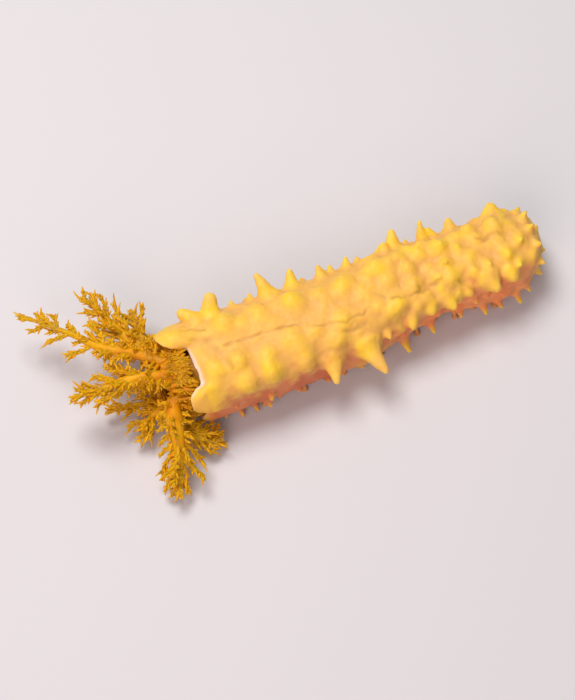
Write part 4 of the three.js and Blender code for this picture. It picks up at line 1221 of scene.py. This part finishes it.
def melted_skin():
    """The wall, the papillae, the feet, the neck and the stalks' roots, melted into one skin."""
    limbs = [papilla_path(*place) for place in papillae if place[2] > 0.9 * place[3]]
    limbs += list(point_paths()) + list(foot_paths())
    body = [wall_mesh()]
    for name, paths, sides in (("limbs", limbs, 16), ("neck", collar_paths(), 96),
                               ("roots", stem_root_paths(), 20)):
        body.append(grown(name, paths_mesh(name, list(paths)), round_limb, Sides=sides,
                          Material=skin_material))
    skin = joined("sea_cucumber_skin", body)
    remesh = skin.modifiers.new("voxels", "REMESH")
    remesh.mode = "VOXEL"
    remesh.voxel_size = VOXEL
    skin = add_object("sea_cucumber_skin", plain_mesh(skin))
    skin.data.name = "sea_cucumber_skin"
    return skin


def wall_view(places):
    """Each place's position along X, its angle and distance from the wall's axis, and the plain radius."""
    x = places[:, 0]
    kept = np.clip(x, FRONT_X, TAIL_X)
    off = places - wall_axis(kept)
    angle = np.arctan2(off[:, 2], off[:, 1])
    angle = np.where(angle < -math.pi / 2, angle + TAU, angle)
    return x, angle, np.hypot(off[:, 1], off[:, 2]), plain_radius(kept, angle)


def noise_at(places, stretch, shift=(0, 0, 0)):
    return np.array([noise.noise(Vector(p) + Vector(shift)) for p in places * stretch])


def flank_and_shade_share(x, angle, rise, ripple):
    """1 on the low flanks, which carry their own brownish colour and painted shade, with an uneven upper edge
    that stands higher at the rear and on the left, where the painted shade reaches up under the back's edge.
    """
    far_back = step(7.5, 11, x)
    left = step(0.3, -0.3, np.cos(angle))
    edge_height = mix(mix(0.0, 0.16, left), 0.45, far_back * left)
    low = step(0.28, -0.28, np.sin(angle) + 0.26 * ripple - edge_height - 0.14) * step(1.1, 0.2, rise)
    return low * mix(0.7, 1, left) * step(19.2, 16.5, x) * step(-20.5, -19, x)


def rim_highlight_share(x, angle, reach, base):
    """1 where a pale highlight is painted on the front rim's inner lip, widest between its two upper lobes.
    """
    rounds = np.linspace(0, TAU, 181)
    lip = np.interp(np.mod(angle, TAU), rounds, lobe_shift(rounds)[0])
    between = step(68, 84, np.degrees(angle)) * step(146, 132, np.degrees(angle))
    edge = np.exp(-np.abs((x - (FRONT_X + 0.02 - lip)) / mix(0.2, 0.42, between)) ** 2.5)
    return edge * step(0.8, 0.9, reach / base) * mix(0.22, 0.95, between)


def make_skin():
    """The skin with its folds and ripples, and the marks that its material reads."""
    skin = melted_skin()
    mesh = skin.data
    edges, counts = neighbour_sums(mesh)
    places = corners(mesh)
    floor_held = step(0.45, 0.12, places[:, 2])
    places = mix(smoothed(places, edges, counts, 6, 0.55), places, (0.75 * floor_held)[:, None])
    x, angle, reach, base = wall_view(places)
    inside = step(FRONT_X - 0.2, FRONT_X + 0.6, x) * step(0.7, 1.0, reach / base)
    rise = (reach - base) * inside
    set_corners(mesh, places)
    normals = np.empty(len(mesh.vertices) * 3, np.float32)
    mesh.vertex_normals.foreach_get("vector", normals)
    normals = normals.reshape(-1, 3)

    ripple = noise_at(places, 0.9) + 0.5 * noise_at(places, 2.1, (9, 4, 2))
    wrinkle = noise_at(places, np.array([3.4, 2.2, 2.2]), (3, 8, 1))
    uneven = noise_at(places, 1.3, (2, 5, 8))
    back = inside * step(1.1, 0.45, rise)
    depth = fold_depth(x + 0.3 * uneven, angle + (0.07 * wrinkle + 0.24 * uneven) / base, base)
    depth = depth * back * np.clip(1 + 1.1 * ripple, 0.25, 1.5)
    crown = step(-19.2, -19.9, x) * step(0.98, 0.8, reach / base)
    stems = near_stems(places)
    crown = np.maximum(np.maximum(crown, step(-22.4, -22.9, x)), stems)
    push = 0.07 * ripple * inside + 0.02 * wrinkle * (0.4 + 0.6 * inside) + 0.2 * wrinkle * stems - depth
    places = places + normals * (push * (1 - floor_held))[:, None]
    places[:, 2] = np.maximum(places[:, 2], 0.0)
    set_corners(mesh, places)

    broad = smoothed(places, edges, counts, 22, 0.6)
    lobe = step(-19.4, -20.2, x) * (1 - crown)
    marks = {
        # low in the hollows, where the peach painted shade goes
        "hollow": smoothed(((places - broad) * normals).sum(1), edges, counts, 1),
        # the rise also sets where the lemon and the painted light on the swellings' tops go
        "rise": np.maximum(rise, 0.45 * lobe), "tip": step(0.9, 2.6, rise),
        # painted olive shade along the folds
        "fold_shade": np.clip(depth / 0.12, 0, 1), "foot": step(0.85, 0.5, places[:, 2]) * inside,
        # the flanks' own colour and painted shade
        "flank_and_shade": flank_and_shade_share(x, angle, rise, ripple) * (1 - crown),
        # rim: where the pale highlight is painted on the front rim's lip
        "crown": smoothed(crown, edges, counts, 3), "rim": rim_highlight_share(x, angle, reach, base) * (1 - crown)}
    for key, values in marks.items():
        write_mark(mesh, key, values)
    mesh.materials.clear()
    mesh.materials.append(skin_material)
    set_corners(mesh, places * MM)
    mesh.polygons.foreach_set("use_smooth", [True] * len(mesh.polygons))
    mesh.update()
    return skin


# The plumes

def limb_curve(limb, count):
    if len(limb["points"]) > 2:
        return Path(limb["points"]).even(count)[1]
    first, last = np.array(limb["points"][0]), np.array(limb["points"][1])
    return np.array([mix(first, last, share) for share in np.linspace(0, 1, count)])


def wavering(points, draw, amount):
    """A limb that wavers a little, still at its root."""
    seed = Vector((draw() * 50, draw() * 50, draw() * 50))
    shares = np.linspace(0, 1, len(points))
    wave = np.array([noise.noise_vector(Vector(p) * 0.9 + seed) for p in points])
    return points + wave * (amount * shares**0.8)[:, None]


def plume_paths(tentacle):
    """The upper stem and each limb as paths, with where they stand on the stem and how far out."""
    draw = seeded(tentacle["seed"] + 31)
    shares, points = tentacle["path"].even(70, tentacle["bare"] - 0.04, 1.0)
    girths = np.array([stem_radius(tentacle, s) for s in shares]) * mix(0.97, 0.62, step(0.3, 1.0, shares))
    girths = girths * np.where(shares > 0.985, 0.6, 1)
    paths = [(points, girths, dict(reach=shares, finger=0.0, seat_u=shares, seat_v=0.0, level=0.0))]
    for limb in tentacle["limbs"]:
        level, seat = limb["level"], limb["share"]
        count, amount, bonus = (9, 0.3, 0) if level < TWIG else (5, 0.16, 0.1)
        points = wavering(limb_curve(limb, count), draw, amount)
        along = np.linspace(0, 1, count)
        if level < TWIG:
            thick = 0.8 * min(max(BRANCH_SHARE * stem_radius(tentacle, seat), 0.24), 0.38)
            girths = mix(thick, 0.12, along) + 0.1 * np.exp(-along * 7)
        else:
            girths = mix(0.17, 0.07, along)
        girths[-1] *= 0.75
        reach = np.clip(seat + 0.25 * along + bonus, 0, 1.2)
        seat_v = (limb["turn"] / TAU) % 1.0
        paths.append((points, girths, dict(reach=reach, finger=0.0, seat_u=seat, seat_v=seat_v, level=level)))
    return paths


def whole_numbers(items, field, count):
    values = np.empty(count, np.int64)
    items.foreach_get(field, values)
    return values


MAP_START, MAP_RUN, MAP_ROUND, PATCH = 0.02, 0.94, 0.9, 0.003


def patch_map(mesh):
    """The map for baking: the stem unrolled, and each limb or finger a small patch at its root's place."""
    along, turn = read_mark(mesh, "along"), read_mark(mesh, "turn")
    seat_u, seat_v, level = read_mark(mesh, "seat_u"), read_mark(mesh, "seat_v"), read_mark(mesh, "level")
    finger = read_mark(mesh, "finger")
    loops = whole_numbers(mesh.loops, "vertex_index", len(mesh.loops))
    starts = whole_numbers(mesh.polygons, "loop_start", len(mesh.polygons))
    totals = whole_numbers(mesh.polygons, "loop_total", len(mesh.polygons))
    around_loop = turn[loops]
    face_of = np.repeat(np.arange(len(starts)), totals)
    most = np.maximum.reduceat(around_loop, starts)
    least = np.minimum.reduceat(around_loop, starts)
    wraps = (most - least > 0.5)[face_of]
    around_loop = np.where(wraps & (around_loop < 0.5), around_loop + 1, around_loop)
    stem = (level[loops] == 0) & (finger[loops] < 0.5)
    u = MAP_START + MAP_RUN * np.where(stem, seat_u[loops], np.clip(seat_u[loops], 0, 1))
    u = np.where(stem, u, u + PATCH * along[loops])
    v = np.where(stem, MAP_ROUND * around_loop, 0.03 + MAP_ROUND * seat_v[loops] + PATCH * around_loop)
    layer = mesh.uv_layers.new(name="OFBake")
    layer.data.foreach_set("uv", np.stack([u, v], axis=1).astype(np.float32).ravel())


# Fingers on the branches, on the twigs and, thin and close, on the stem
BRANCH_FINGERS = {"Spacing": 0.26, "Length": 0.15, "Thickness": 0.36, "Opening": math.radians(56),
                  "Bare": 0.1}
TWIG_FINGERS = {"Spacing": 0.17, "Length": 0.1, "Thickness": 0.46, "Opening": math.radians(46), "Bare": 0.3}
STEM_FINGERS = {"Spacing": 0.04, "Length": 0.25, "Thickness": 0.18, "Opening": math.radians(58),
                "Bare": 0.02, "Girth Share": 0.6}


def make_plume(number, tentacle):
    paths = plume_paths(tentacle)
    branches = [p for p in paths if 0 < p[2]["level"] < TWIG]
    twigs = [p for p in paths if p[2]["level"] >= TWIG]
    shares = np.linspace(0.1, 1, 24) * tentacle["bare"]
    lower = tentacle["path"].even(24, 0.1 * tentacle["bare"], tentacle["bare"])[1]
    below = (lower, np.array([stem_radius(tentacle, s) for s in shares]),
             dict(reach=0.1, finger=0.0, seat_u=0.05, seat_v=0.5, level=0.5))
    parts = [grown(name, paths_mesh(name, chosen), form, Material=flesh_material, **sizes)
             for name, chosen, form, sizes in (
                 ("stem", paths[:1], round_limb, {"Sides": 18}),
                 ("limbs", paths[1:], round_limb, {"Sides": 7}),
                 ("branch fingers", branches, fingers, BRANCH_FINGERS),
                 ("twig fingers", twigs, fingers, TWIG_FINGERS),
                 ("stem fingers", [paths[0], below, below, below], fingers, STEM_FINGERS))]
    plume = joined("tentacle_%d_feathering" % (number + 1), parts)
    mesh = plume.data
    patch_map(mesh)
    places = corners(mesh)
    places[:, 2] = np.maximum(places[:, 2], 0.12)
    set_corners(mesh, places * MM)
    mesh.materials.clear()
    mesh.materials.append(flesh_material)
    return plume


skin = make_skin()
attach(skin, "root")
stalks = [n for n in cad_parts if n.endswith("_stalk")]
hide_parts("trunk_front", "trunk_fore_middle", "trunk_hind_middle", "trunk_rear", "anal_cone",
            "collar", "mouth", *stalks)
for number, tentacle in enumerate(TENTACLES):
    plume = make_plume(number, tentacle)
    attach(plume, "root")
    own = "tentacle_%d" % (number + 1)
    lengths = [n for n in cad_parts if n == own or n.startswith(own + "_")]
    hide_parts(*[n for n in lengths if n not in stalks])


# Floor, light and camera

def make_floor():
    square = [(-1.5, -1.5, 0), (1.5, -1.5, 0), (1.5, 1.5, 0), (-1.5, 1.5, 0)]
    mesh = rows_to_mesh("floor", square, [(0, 1, 2, 3)])
    mesh.materials.append(studio_paper())
    add_object("floor", mesh)


def make_lamp(name, place, aim, size, power, tint):
    data = bpy.data.lights.new(name, "AREA")
    data.shape, data.size, data.energy, data.color = "DISK", size, power, colour(tint)[:3]
    made = bpy.data.objects.new(name, data)
    bpy.context.scene.collection.objects.link(made)
    made.location = place
    made.rotation_euler = (Vector(aim) - Vector(place)).to_track_quat("-Z", "Y").to_euler()


def make_light():
    aim = (-0.006, 0, 0.004)
    make_lamp("key", (-0.05, 0.13, 0.33), aim, 0.18, 1.13, "#FFF6EE")
    make_lamp("fill", (-0.2, -0.22, 0.24), aim, 0.3, 0.72, "#FFE0D6")
    bpy.context.scene.view_settings.view_transform = "Standard"
    world = bpy.data.worlds.new("studio")
    world.use_nodes = True
    bpy.context.scene.world = world
    background = world.node_tree.nodes["Background"]
    background.inputs["Color"].default_value = colour("#F4F1F6")
    background.inputs["Strength"].default_value = 0.26


def make_camera():
    """The photo looks down at 68 degrees, from a little to the left of the animal's side."""
    azimuth, elevation, distance = math.radians(-21.5), math.radians(68), 0.26
    target = Vector((-9.475, -0.359, 2.762)) * MM
    back = Vector((math.sin(azimuth) * math.cos(elevation), -math.cos(azimuth) * math.cos(elevation),
                   math.sin(elevation)))
    pixels_per_mm, long_side, sensor = 9.5, 700, 36.0
    data = bpy.data.cameras.new("camera")
    data.sensor_width = sensor
    data.lens = sensor * distance * 1000 * pixels_per_mm / long_side
    data.clip_start, data.clip_end = 0.01, 10
    made = bpy.data.objects.new("camera", data)
    bpy.context.scene.collection.objects.link(made)
    made.location = target + back * distance
    made.rotation_euler = back.to_track_quat("Z", "Y").to_euler()
    bpy.context.scene.camera = made


make_floor()
make_light()
make_camera()
